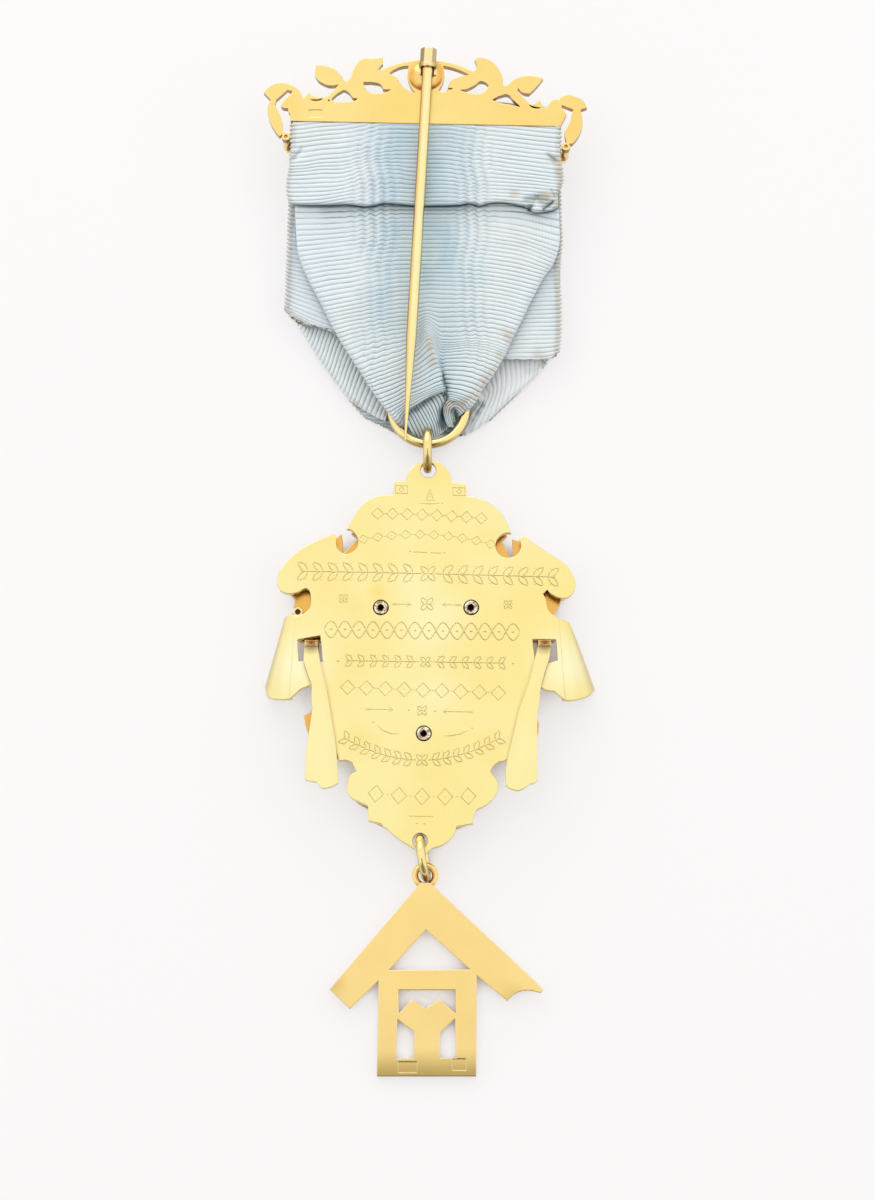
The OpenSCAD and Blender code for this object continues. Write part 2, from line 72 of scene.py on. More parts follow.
# ------------------------------------------------------------------ node helpers
class Tree:
    def __init__(self, tree):
        self.t = tree
        self.t.nodes.clear()

    def n(self, kind, **kw):
        node = self.t.nodes.new(kind)
        ins = kw.pop("ins", {})
        for k, v in kw.items():
            setattr(node, k, v)
        for k, v in ins.items():
            self.put(node.inputs[k], v)
        return node

    def put(self, socket, v):
        if isinstance(v, bpy.types.NodeSocket):
            self.t.links.new(v, socket)
        elif isinstance(v, (tuple, list)) and len(v) == 3 and socket.type == "RGBA":
            socket.default_value = (*v, 1.0)
        else:
            socket.default_value = v

    def math(self, op, a, b=None, c=None, clamp=False):
        node = self.t.nodes.new("ShaderNodeMath")
        node.operation = op
        node.use_clamp = clamp
        for i, v in enumerate((a, b, c)):
            if v is not None:
                self.put(node.inputs[i], v)
        return node.outputs[0]

    def mix(self, f, a, b, blend="MIX"):
        node = self.t.nodes.new("ShaderNodeMix")
        node.data_type = "RGBA"
        node.blend_type = blend
        node.clamp_factor = True
        self.put(node.inputs[0], f)
        self.put(node.inputs[6], a)
        self.put(node.inputs[7], b)
        return node.outputs[2]

    def noise(self, vec, scale, detail=2.0, rough=0.5, distortion=0.0):
        node = self.n("ShaderNodeTexNoise", ins={"Scale": scale, "Detail": detail, "Roughness": rough, "Distortion": distortion})
        self.put(node.inputs["Vector"], vec)
        return node.outputs["Fac"]

    def ramp(self, f, lo, hi, a=0.0, b=1.0):
        node = self.n("ShaderNodeMapRange", clamp=True, interpolation_type="SMOOTHSTEP",
                      ins={"From Min": lo, "From Max": hi, "To Min": a, "To Max": b})
        self.put(node.inputs["Value"], f)
        return node.outputs["Result"]

    def scaled(self, vec, s):
        node = self.n("ShaderNodeMapping")
        self.put(node.inputs["Vector"], vec)
        node.inputs["Scale"].default_value = s
        return node.outputs["Vector"]

    def spot(self, vec, centre, r):
        """1 at a place (m), fading to 0 at distance r."""
        node = self.n("ShaderNodeVectorMath", operation="DISTANCE")
        self.put(node.inputs[0], vec)
        node.inputs[1].default_value = centre
        return self.ramp(node.outputs["Value"], r, 0.0)


def lin(r, g, b):
    """A colour as the eye reads it on a screen (0 to 255), as linear light."""
    return tuple(((c / 255) / 12.92 if c / 255 < 0.04045 else ((c / 255 + 0.055) / 1.055) ** 2.4) for c in (r, g, b))


def material(name):
    m = bpy.data.materials.new(name)
    m.use_nodes = True
    return m, Tree(m.node_tree)


# ------------------------------------------------------------------ metals
def gilt(name, colour, deep, rough=0.22, cloud=0.45, scratch=0.3, grain=(2600, 300, 2600), patches=(), low=None, side=None,
         base=None, recess=(206, 128, 48), occl=0.85, wall=0.0, shine=0.45, socket=False, wall_z=-1.0, rim=0.0):
    """Polished gold. patches: (x, y mm, radius mm, amount, colour); on the bar, plate and frame these are painted
    reflections and painted shade. low: (z0, z1 mm, colour), painted shade and painted reflection on what lies deep.
    side: colour of painted shade on what faces -X. base: (y0, y1 mm, colour), a painted darker reflection towards the
    low end. wall: how much painted brown shade the steep sides get.
    wall_z: the height, mm, above which they are. shine: how bright the painted highlight on sharp edges is. rim:
    painted shade on both flanks.
    socket: painted highlights and painted shade on the pin's socket and its domed seat, with darker flanks. recess:
    colour of the painted shade in recesses, occl: how strong it is."""
    m, t = material(name)
    tc = t.n("ShaderNodeTexCoord")
    pos = tc.outputs["Object"]
    xyz = t.n("ShaderNodeSeparateXYZ")
    t.put(xyz.inputs[0], pos)
    big = t.noise(pos, 62.0, 1.5, 0.45, 0.4)
    mid = t.noise(pos, 210.0, 2.0, 0.5)
    fine = t.noise(t.scaled(pos, grain), 1.0, 2.0, 0.5)
    cross = t.noise(t.scaled(pos, (grain[1] * 0.9, grain[0] * 0.7, 2000)), 1.0, 2.0, 0.5)
    c = t.mix(t.ramp(big, 0.36, 0.66, 0.0, cloud), colour, deep)
    c = t.mix(t.ramp(mid, 0.5, 0.75, 0.0, cloud * 0.35), c, deep)
    # spots of given colour; the bar, plate and frame use them as painted reflections and painted shade
    for x, y, r, amount, tone in patches:
        spot = t.spot(t.scaled(pos, (1.0, 1.0, 0.0)), ((x + SH[0]) * MM, (y + SH[1]) * MM, 0.0), r * MM)
        c = t.mix(t.math("MULTIPLY", spot, amount), c, tone)
    # painted shade and painted reflection: deeper colour on what lies below the given heights
    if low:
        c = t.mix(t.ramp(xyz.outputs[2], low[1] * MM, low[0] * MM), c, low[2])
    # painted darker reflection towards the low end, with a wavy border
    if base:
        wave = t.math("MULTIPLY_ADD", big, 0.0016, xyz.outputs[1])
        c = t.mix(t.ramp(wave, base[1] * MM, base[0] * MM), c, base[2])
    nor = t.n("ShaderNodeSeparateXYZ")
    t.put(nor.inputs[0], tc.outputs["Normal"])
    flank = t.math("ABSOLUTE", nor.outputs[0])
    steep = t.ramp(t.math("ABSOLUTE", nor.outputs[2]), 0.75, 0.35)
    # painted shade on what faces -X
    if side:
        c = t.mix(t.ramp(nor.outputs[0], -0.15, -0.9), c, side)
    # painted shade: steep sides above wall_z turn brown
    if wall:
        high = t.math("MULTIPLY", steep, t.ramp(xyz.outputs[2], wall_z * MM, (wall_z + 0.15) * MM))
        c = t.mix(t.math("MULTIPLY", high, wall), c, lin(112, 70, 30))
    # painted light and shade on the pin's socket: an orange ring and a pale middle on the domed seat, a dark line on
    # its south side
    if socket:
        hub = t.n("ShaderNodeVectorMath", operation="DISTANCE")
        t.put(hub.inputs[0], t.scaled(pos, (1.0, 1.0, 0.0)))
        hub.inputs[1].default_value = ((-0.4 + SH[0]) * MM, (70.75 + SH[1]) * MM, 0.0)
        wob = t.math("MULTIPLY_ADD", t.math("SUBTRACT", mid, 0.5), 0.0009, hub.outputs["Value"])
        under = t.ramp(xyz.outputs[2], 7.4 * MM, 7.2 * MM)
        ring = t.math("MULTIPLY", t.ramp(wob, 0.00150, 0.00185), t.ramp(wob, 0.00262, 0.00240))
        c = t.mix(t.math("MULTIPLY", t.math("MULTIPLY", ring, under), 0.75), c, lin(242, 176, 88))
        dome = t.math("MULTIPLY", t.ramp(wob, 0.00175, 0.00140), under)
        c = t.mix(t.math("MULTIPLY", dome, 0.7), c, lin(246, 204, 128))
        south = t.ramp(xyz.outputs[1], 69.6 * MM, 68.4 * MM)
        line = t.math("MULTIPLY", t.ramp(wob, 0.00200, 0.00222), t.ramp(wob, 0.00252, 0.00236))
        c = t.mix(t.math("MULTIPLY", t.math("MULTIPLY", line, south), 0.75), c, lin(150, 84, 30))
        # painted highlight on the tube, then painted shade on its flanks
        tube = t.ramp(xyz.outputs[2], 7.2 * MM, 7.5 * MM)
        c = t.mix(t.math("MULTIPLY", tube, 0.8), c, lin(248, 230, 176))
        west = t.ramp(nor.outputs[0], -0.30, -0.80, 0.0, 0.75)
        east = t.ramp(nor.outputs[0], 0.30, 0.80, 0.0, 0.45)
        c = t.mix(t.math("MULTIPLY", tube, t.math("MAXIMUM", west, east)), c, lin(128, 104, 50))
    # painted shade on both flanks
    if rim:
        c = t.mix(t.ramp(flank, 0.80, 0.97, 0.0, rim), c, lin(128, 92, 44))
    # hair scratches
    hair = t.math("MAXIMUM", t.ramp(fine, 0.66, 0.74), t.ramp(cross, 0.68, 0.76))
    c = t.mix(t.math("MULTIPLY", hair, 0.22 * scratch), c, deep)
    # painted shade in recesses: where the AO finds the gold occluded it turns towards the recess colour
    ao = t.n("ShaderNodeAmbientOcclusion", samples=8, ins={"Distance": 0.0012}).outputs["AO"]
    c = t.mix(t.ramp(ao, 0.80, 0.22, 0.0, occl), c, lin(*recess))
    r1 = t.math("MULTIPLY_ADD", t.math("SUBTRACT", mid, 0.5), 0.12, rough)
    r2 = t.math("MULTIPLY_ADD", hair, 0.10 * scratch, r1)
    bev = t.n("ShaderNodeBevel", samples=6, ins={"Radius": 0.00018}).outputs["Normal"]
    turn = t.n("ShaderNodeVectorMath", operation="DOT_PRODUCT")
    t.put(turn.inputs[0], bev)
    t.put(turn.inputs[1], t.n("ShaderNodeNewGeometry").outputs["Normal"])
    # painted highlight on sharp edges, away from the steep sides
    edge_highlight = t.math("MULTIPLY", t.ramp(turn.outputs["Value"], 0.995, 0.90, 0.0, shine), t.math("SUBTRACT", 1.0, steep))
    c = t.mix(edge_highlight, c, lin(255, 250, 218))
    h = t.math("ADD", t.math("MULTIPLY", fine, scratch), t.math("MULTIPLY", cross, scratch * 0.6))
    h = t.math("ADD", h, t.math("MULTIPLY", big, 9.0))
    bump = t.n("ShaderNodeBump", ins={"Strength": 0.25, "Distance": 0.00002, "Height": h, "Normal": bev})
    s = t.n("ShaderNodeBsdfPrincipled", ins={"Metallic": 1.0, "Base Color": c, "Roughness": t.math("MAXIMUM", r2, 0.08), "Normal": bump.outputs[0]})
    out = t.n("ShaderNodeOutputMaterial")
    t.t.links.new(s.outputs[0], out.inputs["Surface"])
    return m


PALE, WARM, DEEP = lin(250, 241, 190), lin(246, 222, 138), lin(242, 204, 108)
# bar: the patches paint paler and deeper reflections, and orange round the socket's seat; wall paints shade on steep
# sides; socket paints its light and shade
bar_gold = gilt("bar_gilt", lin(247, 220, 140), lin(245, 206, 118), 0.22, 0.5,
                patches=((-14, 65, 7, 0.5, lin(248, 224, 148)), (-4, 66, 6, 0.5, lin(246, 210, 112)), (12, 64, 9, 0.5, lin(248, 208, 122)),
                         (-0.4, 70.75, 3.2, 0.25, lin(240, 190, 104)), (-20, 66, 4, 0.4, lin(246, 208, 122)), (20, 63, 4, 0.5, lin(246, 202, 114))),
                wall=0.85, shine=0.2, socket=True, wall_z=4.9)
# plate: the patches paint reflections, pale in the middle and on the rolls and deeper gold towards the sides; wall
# paints shade on steep sides
plate_gold = gilt("plate_pale_gilt", lin(248, 233, 164), lin(246, 224, 136), 0.25, 0.5, 0.35, (700, 3200, 2600),
                  patches=((0.5, -9, 7.5, 0.8, PALE), (-2.5, -3.5, 4.5, 0.5, PALE), (1.0, -19, 6.5, 0.6, PALE), (-1, 6, 5, 0.4, lin(248, 234, 160)),
                           (-14, -4, 6, 0.5, WARM), (-10.5, -7, 3.2, 0.5, WARM), (14.5, -5, 6, 0.2, WARM), (-9.5, -26, 4.5, 0.55, WARM),
                           (9.0, -27, 5, 0.4, WARM), (-1, -35.5, 4.5, 0.5, lin(247, 226, 142)), (-17.9, -15, 6.5, 0.75, lin(251, 248, 206)),
                           (18.9, -15, 6.5, 0.75, lin(251, 248, 206)), (-7.3, -4.6, 1.9, 0.5, lin(246, 216, 104)), (0, 12.5, 4, 0.5, lin(246, 224, 140)),
                           (-7.5, 2, 5, 0.35, WARM), (8, 3, 4, 0.35, WARM)), wall=0.3)
# frame: low paints shade on the deep front sheet; the patches paint shadow at the strap roots and under the plate, and
# orange reflection in the ear openings; strong painted shade in recesses
frame_gold = gilt("frame_gilt", lin(249, 236, 172), lin(247, 226, 144), 0.24, 0.4, low=(2.3, 3.4, lin(236, 182, 92)), occl=1.0, recess=(120, 62, 24), wall=0.35, shine=0.6,
                  patches=((-16.3, -12.2, 2.1, 1.0, lin(112, 66, 28)), (16.1, -12.2, 2.1, 1.0, lin(112, 66, 28)),
                           (-18.0, -6.4, 1.6, 0.6, lin(246, 208, 112)), (17.6, -6.2, 1.4, 0.5, lin(244, 190, 92)),
                           (-17.4, -4.6, 1.2, 0.7, lin(120, 70, 28)), (16.7, -4.6, 1.1, 0.7, lin(130, 72, 28))))
disc_gold = gilt("disc_gilt", lin(240, 202, 114), lin(232, 170, 78), 0.28, 0.6, occl=1.0, recess=(160, 86, 34))
# pin: side and rim paint shade on its flanks
pin_gold = gilt("pin_gilt", lin(250, 236, 176), lin(248, 220, 138), 0.2, 0.35, 0.25, (3000, 300, 3000), side=lin(236, 192, 118), rim=0.75)
# rings: wall paints shade on their steep sides, with strong painted shade in recesses
ring_gold = gilt("ring_gilt", lin(250, 234, 168), lin(244, 208, 124), 0.13, 0.35, 0.25, recess=(110, 68, 24), occl=1.0, wall=0.5)
# pendant: base paints a darker reflection towards its lower end
drop_gold = gilt("pendant_gilt", lin(251, 222, 147), lin(248, 210, 130), 0.22, 0.4, base=(-72.6, -67.8, lin(186, 160, 94)),
                 patches=((-13.2, -59.5, 2.6, 0.6, lin(216, 184, 108)), (11.5, -61.6, 3.0, 0.55, lin(220, 188, 110)), (0, -58.5, 8, 0.3, lin(248, 212, 128)),
                          (0, -49, 6, 0.35, lin(250, 222, 146))))
spark_gold = gilt("mark_gilt", lin(255, 236, 150), lin(250, 214, 110), 0.25, 0.3)
cut_gold = gilt("graver_cut", lin(236, 214, 132), lin(214, 184, 104), 0.34, 0.7, occl=0.2)


def rivet_material():
    m, t = material("rivet_bright")
    pos = t.n("ShaderNodeTexCoord").outputs["Object"]
    flat = t.scaled(pos, (1.0, 1.0, 0.0))
    wob = t.noise(pos, 2400.0, 2.0, 0.6)
    c = t.mix(t.ramp(wob, 0.35, 0.65), lin(252, 246, 226), lin(168, 134, 88))
    # painted shade: a dark disc over each hollow rivet's bore, set a little off its centre
    for x, y in ((-6.7, -6.9), (5.9, -6.9), (-0.7, -24.8)):
        node = t.n("ShaderNodeVectorMath", operation="DISTANCE")
        t.put(node.inputs[0], flat)
        node.inputs[1].default_value = ((x + SH[0] - 0.08) * MM, (y + SH[1] - 0.06) * MM, 0.0)
        d = t.math("MULTIPLY_ADD", t.math("SUBTRACT", wob, 0.5), 0.0009, node.outputs["Value"])
        c = t.mix(t.ramp(d, 0.00055, 0.00042), c, lin(64, 42, 26))
    bev = t.n("ShaderNodeBevel", samples=6, ins={"Radius": 0.0002}).outputs["Normal"]
    bump = t.n("ShaderNodeBump", ins={"Strength": 0.5, "Distance": 0.00004, "Height": wob, "Normal": bev})
    s = t.n("ShaderNodeBsdfPrincipled", ins={"Metallic": 1.0, "Base Color": c, "Roughness": t.math("MULTIPLY_ADD", wob, 0.2, 0.14), "Normal": bump.outputs[0]})
    out = t.n("ShaderNodeOutputMaterial")
    t.t.links.new(s.outputs[0], out.inputs["Surface"])
    return m


rivet_white = rivet_material()

FINISH = {"brooch_bar": bar_gold, "pin": pin_gold, "ribbon_ring": ring_gold, "upper_jump_ring": ring_gold,
          "lower_jump_ring": ring_gold, "jewel_plate": plate_gold, "strap_frame": frame_gold, "front_disc": disc_gold,
          "rivet_left": rivet_white, "rivet_right": rivet_white, "rivet_low": rivet_white, "pendant": drop_gold}
for name, mat in FINISH.items():
    N[name].data.materials.clear()
    N[name].data.materials.append(mat)


# ------------------------------------------------------------------ cloth
def cloth_material(name):
    m, t = material(name)
    tc = t.n("ShaderNodeTexCoord")
    pos, uv = tc.outputs["Object"], tc.outputs["UV"]
    sep = t.n("ShaderNodeSeparateXYZ")
    t.put(sep.inputs[0], uv)
    u, v = sep.outputs[0], sep.outputs[1]
    wob = t.math("MULTIPLY", t.math("SUBTRACT", t.noise(pos, 900.0, 2.0), 0.5), 0.16)
    ph = t.math("FRACT", t.math("ADD", v, wob))
    d = t.math("ABSOLUTE", t.math("SUBTRACT", ph, 0.5))              # 0.5 at a groove, 0 on a cord's crown
    attr = lambda name: t.n("ShaderNodeAttribute", attribute_type="GEOMETRY", attribute_name=name).outputs["Fac"]
    shade, warm, depth, pale = attr("shade"), attr("warm"), attr("depth"), attr("pale")
    # where painted shade goes: the grooves between the cords
    groove = t.ramp(d, 0.31, 0.485)
    patch = t.noise(t.scaled(pos, (170, 460, 300)), 1.0, 3.0, 0.6)   # watered patches, wider across the ribs
    even = t.math("MINIMUM", t.math("MULTIPLY", depth, 1.1), 1.0)
    groove = t.math("MULTIPLY", groove, t.math("MAXIMUM", t.ramp(patch, 0.30, 0.62, 0.45, 1.0), even))
    white, light, blue, grey = lin(250, 253, 254), lin(237, 248, 253), lin(198, 223, 235), lin(240, 246, 247)
    dark = t.mix(even, lin(94, 126, 136), lin(46, 66, 72))
    xs = t.n("ShaderNodeSeparateXYZ")
    t.put(xs.inputs[0], pos)
    wav = t.math("MULTIPLY", t.math("SUBTRACT", t.noise(t.scaled(pos, (20, 210, 20)), 1.0, 2.0), 0.5), 0.0042)
    x = t.math("ADD", xs.outputs[0], wav)
    # the middle third of the width is a deeper blue than its sides
    mid = t.ramp(t.math("ABSOLUTE", t.math("ADD", x, 0.0008)), 0.0112, 0.0035)
    deepen = t.math("MULTIPLY", mid, t.ramp(t.noise(t.scaled(pos, (130, 60, 60)), 1.0, 2.0), 0.34, 0.60, 0.45, 1.0))
    c = t.mix(t.ramp(t.noise(pos, 62.0, 2.0), 0.36, 0.64), grey, light)
    c = t.mix(t.math("MULTIPLY", deepen, t.ramp(depth, 0.2, 0.8, 1.0, 0.35)), c, blue)
    c = t.mix(t.ramp(t.noise(pos, 150.0, 3.0), 0.55, 0.75, 0.0, 0.45), c, white)
    c = t.mix(t.ramp(depth, 0.25, 0.75, 0.0, 0.45), c, lin(226, 246, 252))
    # watermark: where the cords waver, they are paler and flatter; on the folded corners and just below the bar's edge
    # the same pale mark is painted light
    c = t.mix(t.math("MULTIPLY", pale, 0.75), c, white)
    groove = t.math("MULTIPLY", groove, t.math("MULTIPLY_ADD", pale, -0.6, 1.0))
    # warp threads cross every cord
    warp = t.math("SINE", t.math("MULTIPLY", u, 2 * math.pi * 230.0))
    c = t.mix(t.ramp(warp, -1.0, 1.0, 0.06, 0.0), c, dark)
    c = t.mix(t.math("MULTIPLY", warm, 0.55), c, lin(212, 202, 182))
    c = t.mix(t.math("MULTIPLY", shade, 0.85), c, lin(74, 104, 112))
    # painted shade in the grooves, stronger where depth is high and in the middle third
    strength = t.math("MINIMUM", t.math("MULTIPLY_ADD", deepen, 0.12, t.math("MULTIPLY_ADD", depth, 0.50, 0.42)), 0.95)
    c = t.mix(t.math("MULTIPLY", groove, strength), c, dark)
    # greyed selvedges
    edge = t.math("ABSOLUTE", t.math("SUBTRACT", u, 0.5))
    c = t.mix(t.ramp(edge, 0.480, 0.499, 0.0, 0.5), c, lin(204, 202, 190))
    for centre, r, amount in STAINS:
        f = t.math("MULTIPLY", t.spot(pos, centre, r), t.ramp(t.noise(pos, 900.0, 3.0), 0.3, 0.7, 0.35 * amount, amount))
        c = t.mix(f, c, lin(192, 178, 144))
    for centre, r, amount in SHADES:
        c = t.mix(t.math("MULTIPLY", t.spot(pos, centre, r), amount), c, lin(74, 98, 104))
    # painted shade where the AO finds the cloth occluded by the layers beside it; less on pale parts
    ao = t.n("ShaderNodeAmbientOcclusion", samples=8, ins={"Distance": 0.0013}).outputs["AO"]
    occlusion_shade = t.math("MULTIPLY", t.ramp(ao, 0.50, 0.10, 0.0, 0.85), t.math("MULTIPLY_ADD", pale, -0.8, 1.0))
    c = t.mix(occlusion_shade, c, lin(58, 90, 98))
    fibre = t.noise(t.scaled(pos, (5200, 9000, 5200)), 1.0, 2.0, 0.6)
    h = t.math("ADD", t.math("MULTIPLY", fibre, 0.6), t.math("MULTIPLY", warp, 0.16))
    bump = t.n("ShaderNodeBump", ins={"Strength": 0.6, "Distance": 0.00005, "Height": h})
    rough = t.math("MULTIPLY_ADD", t.noise(pos, 260.0, 2.0), 0.2, 0.40)
    s = t.n("ShaderNodeBsdfPrincipled", ins={"Base Color": c, "Roughness": rough, "Normal": bump.outputs[0],
                                             "Sheen Weight": 0.25, "Sheen Roughness": 0.4, "Specular IOR Level": 0.5})
    out = t.n("ShaderNodeOutputMaterial")
    t.t.links.new(s.outputs[0], out.inputs["Surface"])
    return m


STAINS = [(tuple(c * MM for c in at(px, py, z)), r, a) for px, py, z, r, a in (
    (515, 194, 6.1, 0.0012, 0.5), (547, 196, 6.1, 0.0016, 0.85), (553, 160, 6.1, 0.0014, 0.6), (540, 200, 6.1, 0.0012, 0.5),
    (430, 348, 4.9, 0.0011, 0.8), (433, 362, 4.9, 0.0012, 0.5), (507, 335, 4.9, 0.0016, 0.45), (537, 357, 3.3, 0.0014, 0.35),
    (529, 372, 2.1, 0.0010, 0.15), (303, 322, 3.3, 0.0012, 0.5), (332, 379, 2.1, 0.0010, 0.3), (292, 225, 3.3, 0.0012, 0.3),
    (484, 384, 4.9, 0.0014, 0.35), (560, 176, 6.1, 0.0014, 0.8), (559, 165, 6.1, 0.0012, 0.6), (558, 205, 6.0, 0.0012, 0.5),
    (541, 358, 3.3, 0.0010, 0.25), (499, 354, 4.9, 0.0010, 0.35), (298, 320, 3.3, 0.0009, 0.6), (357, 404, 2.0, 0.0011, 0.5))]
SHADES = [(tuple(c * MM for c in at(px, py, z)), r, a) for px, py, z, r, a in (
    (441, 417, 3.0, 0.0011, 0.9), (440, 424, 3.0, 0.0011, 0.85), (453, 411, 4.0, 0.0008, 0.8), (456, 416, 3.6, 0.0008, 0.8),
    (416, 409, 4.1, 0.0009, 0.45), (424, 403, 4.1, 0.0009, 0.45), (432, 399, 4.1, 0.0009, 0.4), (409, 416, 3.8, 0.0009, 0.35),
    (442, 374, 4.3, 0.0006, 0.5), (443, 380, 4.3, 0.0007, 0.6), (445, 388, 4.2, 0.0007, 0.6), (446, 397, 4.1, 0.0007, 0.7), (444, 404, 4.0, 0.0007, 0.7),
    (441, 411, 3.8, 0.0008, 0.8), (529, 207, 6.0, 0.0007, 0.6), (530, 209, 5.9, 0.0006, 0.6), (549, 205, 6.0, 0.0006, 0.5), (553, 161, 6.1, 0.0006, 0.4),
    (482, 405, 2.3, 0.0008, 0.6), (477, 412, 2.3, 0.0009, 0.6), (471, 419, 2.3, 0.0008, 0.5))]
cloth = cloth_material("watered_silk")


# ------------------------------------------------------------------ surfaces from rows of points
def spline(t, P, q):
    """Smooth curve through the points P at the parameters t, read at q."""
    t = np.asarray(t, float)
    P = np.asarray(P, float)
    q = np.clip(np.asarray(q, float), t[0], t[-1])
    d = np.diff(t)
    shape = (-1,) + (1,) * (P.ndim - 1)
    s = np.diff(P, axis=0) / d.reshape(shape)
    m = np.empty_like(P)
    w0, w1 = d[1:].reshape(shape), d[:-1].reshape(shape)
    if len(t) > 2:
        m[1:-1] = (s[:-1] * w0 + s[1:] * w1) / (w0 + w1)
    m[0], m[-1] = s[0], s[-1]
    i = np.clip(np.searchsorted(t, q, side="right") - 1, 0, len(t) - 2)
    h = d[i].reshape(shape)
    x = ((q - t[i]) / d[i]).reshape(shape)
    return ((2 * x ** 3 - 3 * x ** 2 + 1) * P[i] + (x ** 3 - 2 * x ** 2 + x) * h * m[i]
            + (-2 * x ** 3 + 3 * x ** 2) * P[i + 1] + (x ** 3 - x ** 2) * h * m[i + 1])


def line_at(table, q):
    """Height of a drawn line given as (x, y) points."""
    a = np.asarray(table, float)
    return spline(a[:, 0], a[:, 1], q)


def to_mm(px, py, z):
    u, v = px - 437.5, 600.0 - py
    dz = v * math.sin(TILT) - FOC * math.cos(TILT)
    t = (z - CAM[2]) / dz
    return np.stack([CAM[0] + t * u, CAM[1] + t * (v * math.cos(TILT) + FOC * math.sin(TILT)), z + 0 * px], -1)


def normals(P):
    a = np.gradient(P, axis=0)
    b = np.gradient(P, axis=1)
    n = np.cross(b, a)
    l = np.linalg.norm(n, axis=-1, keepdims=True)
    n = n / np.maximum(l, 1e-9)
    return n


def build(name, verts, quads, uvs, mat, smooth=True, attrs=None):
    me = bpy.data.meshes.new(name)
    verts = np.asarray(verts, np.float32)
    quads = np.asarray(quads, np.int32)
    me.vertices.add(len(verts))
    me.vertices.foreach_set("co", (verts * MM).ravel())
    me.loops.add(quads.size)
    me.loops.foreach_set("vertex_index", quads.ravel())
    me.polygons.add(len(quads))
    me.polygons.foreach_set("loop_start", np.arange(0, quads.size, quads.shape[1], dtype=np.int32))
    me.polygons.foreach_set("use_smooth", np.full(len(quads), smooth))
    layer = me.uv_layers.new(name="uv")
    layer.data.foreach_set("uv", np.asarray(uvs, np.float32)[quads.ravel()].ravel())
    for key, values in (attrs or {}).items():
        me.attributes.new(key, "FLOAT", "POINT").data.foreach_set("value", np.asarray(values, np.float32).ravel())
    me.update(calc_edges=True)
    me.validate()
    me.materials.append(mat)
    ob = bpy.data.objects.new(name, me)
    bpy.context.scene.collection.objects.link(ob)
    return ob


def shell(name, P, U, V, th, mat, marks=None):
    """Closed cloth wall of thickness th below the surface P. marks: shade (painted shade, with the watermark's dark
    lines), warm, depth and pale (watermark and painted light), one value a point.
    """
    n, m = P.shape[:2]
    nor = normals(P)
    if nor[..., 2].mean() < 0:
        nor = -nor
        flip = True
    else:
        flip = False
    Q = P - nor * th
    verts = np.concatenate([P.reshape(-1, 3), Q.reshape(-1, 3)])
    uvs = np.stack([np.broadcast_to(U, (n, m)).ravel(), np.broadcast_to(V, (n, m)).ravel()], -1)
    uvs = np.concatenate([uvs, uvs])
    i = np.arange(n - 1)[:, None] * m + np.arange(m - 1)[None, :]
    i = i.ravel()
    top = np.stack([i, i + 1, i + m + 1, i + m], -1)
    o = n * m
    bot = top[:, ::-1] + o
    rim = []
    a = np.arange(m - 1)
    rim.append(np.stack([a + 1, a, a + o, a + 1 + o], -1))
    b = (n - 1) * m + a
    rim.append(np.stack([b, b + 1, b + 1 + o, b + o], -1))
    c = np.arange(n - 1) * m
    rim.append(np.stack([c, c + m, c + m + o, c + o], -1))
    e = c + m - 1
    rim.append(np.stack([e + m, e, e + o, e + m + o], -1))
    quads = np.concatenate([top, bot] + rim)
    if not flip:
        pass
    else:
        quads = quads[:, ::-1]
    attrs = {}
    for key in ("shade", "warm", "depth", "pale"):
        a = np.clip(np.broadcast_to((marks or {}).get(key, 0.0), (n, m)), 0.0, 1.5).ravel()
        attrs[key] = np.concatenate([a, a])
    return build(name, verts, quads, uvs, mat, attrs=attrs)


RIB = 0.13      # height of a cord over the groove beside it


def cords(V, amount=1.0):
    s = np.abs(np.sin(np.pi * V))
    return RIB * amount * (s ** 0.6)


EDGE = np.array([0.0, 0.35, 0.8, 1.35, 2.0, 2.8, 3.8, 5.0, 6.6, 8.6])     # columns near a selvedge, px


def across(wide, inner):
    """Columns over a cloth this wide (px), from 0 to 1, closer together along both selvedges."""
    mid = np.linspace(EDGE[-1], wide - EDGE[-1], inner)[1:-1]
    return np.concatenate([EDGE, mid, wide - EDGE[::-1]]) / wide


def scallop(P, V, side, amount=0.22):
    """Small loops of the selvedge: the outer columns swing out and up on each cord."""
    s = np.abs(np.sin(np.pi * V)) ** 0.7 * 1.25 - 0.25
    for which, idx in (("left", range(0, 7)), ("right", range(-1, -8, -1))):
        if side not in (which, "both"):
            continue
        inner = P[:, 9] if which == "left" else P[:, -10]
        d = P[:, idx[0]] - inner
        d = d / np.maximum(np.linalg.norm(d, axis=-1, keepdims=True), 1e-6)
        for k, i in enumerate(idx):
            e = EDGE[k]
            P[:, i] += d * (amount * s * math.exp(-(e / 1.6) ** 2))[:, None]
            P[:, i, 2] += amount * 0.45 * s * math.exp(-((e - 2.2) / 1.8) ** 2) - amount * 0.3 * math.exp(-((e - 5.5) / 1.5) ** 2)


def relief(P, V, amount=1.0):
    nor = normals(P)
    if nor[..., 2].mean() < 0:
        nor = -nor
    flat = np.clip(nor[..., 2] * 1.6 - 0.35, 0.15, 1.0)        # the cords flatten where the cloth turns over
    return P + nor * (cords(V, amount) * flat)[..., None]


def seg(X, Y, x0, y0, x1, y1):
    """Distance of the places X, Y from a straight line."""
    dx, dy = x1 - x0, y1 - y0
    k = np.clip(((X - x0) * dx + (Y - y0) * dy) / (dx * dx + dy * dy), 0, 1)
    return np.hypot(X - x0 - k * dx, Y - y0 - k * dy)


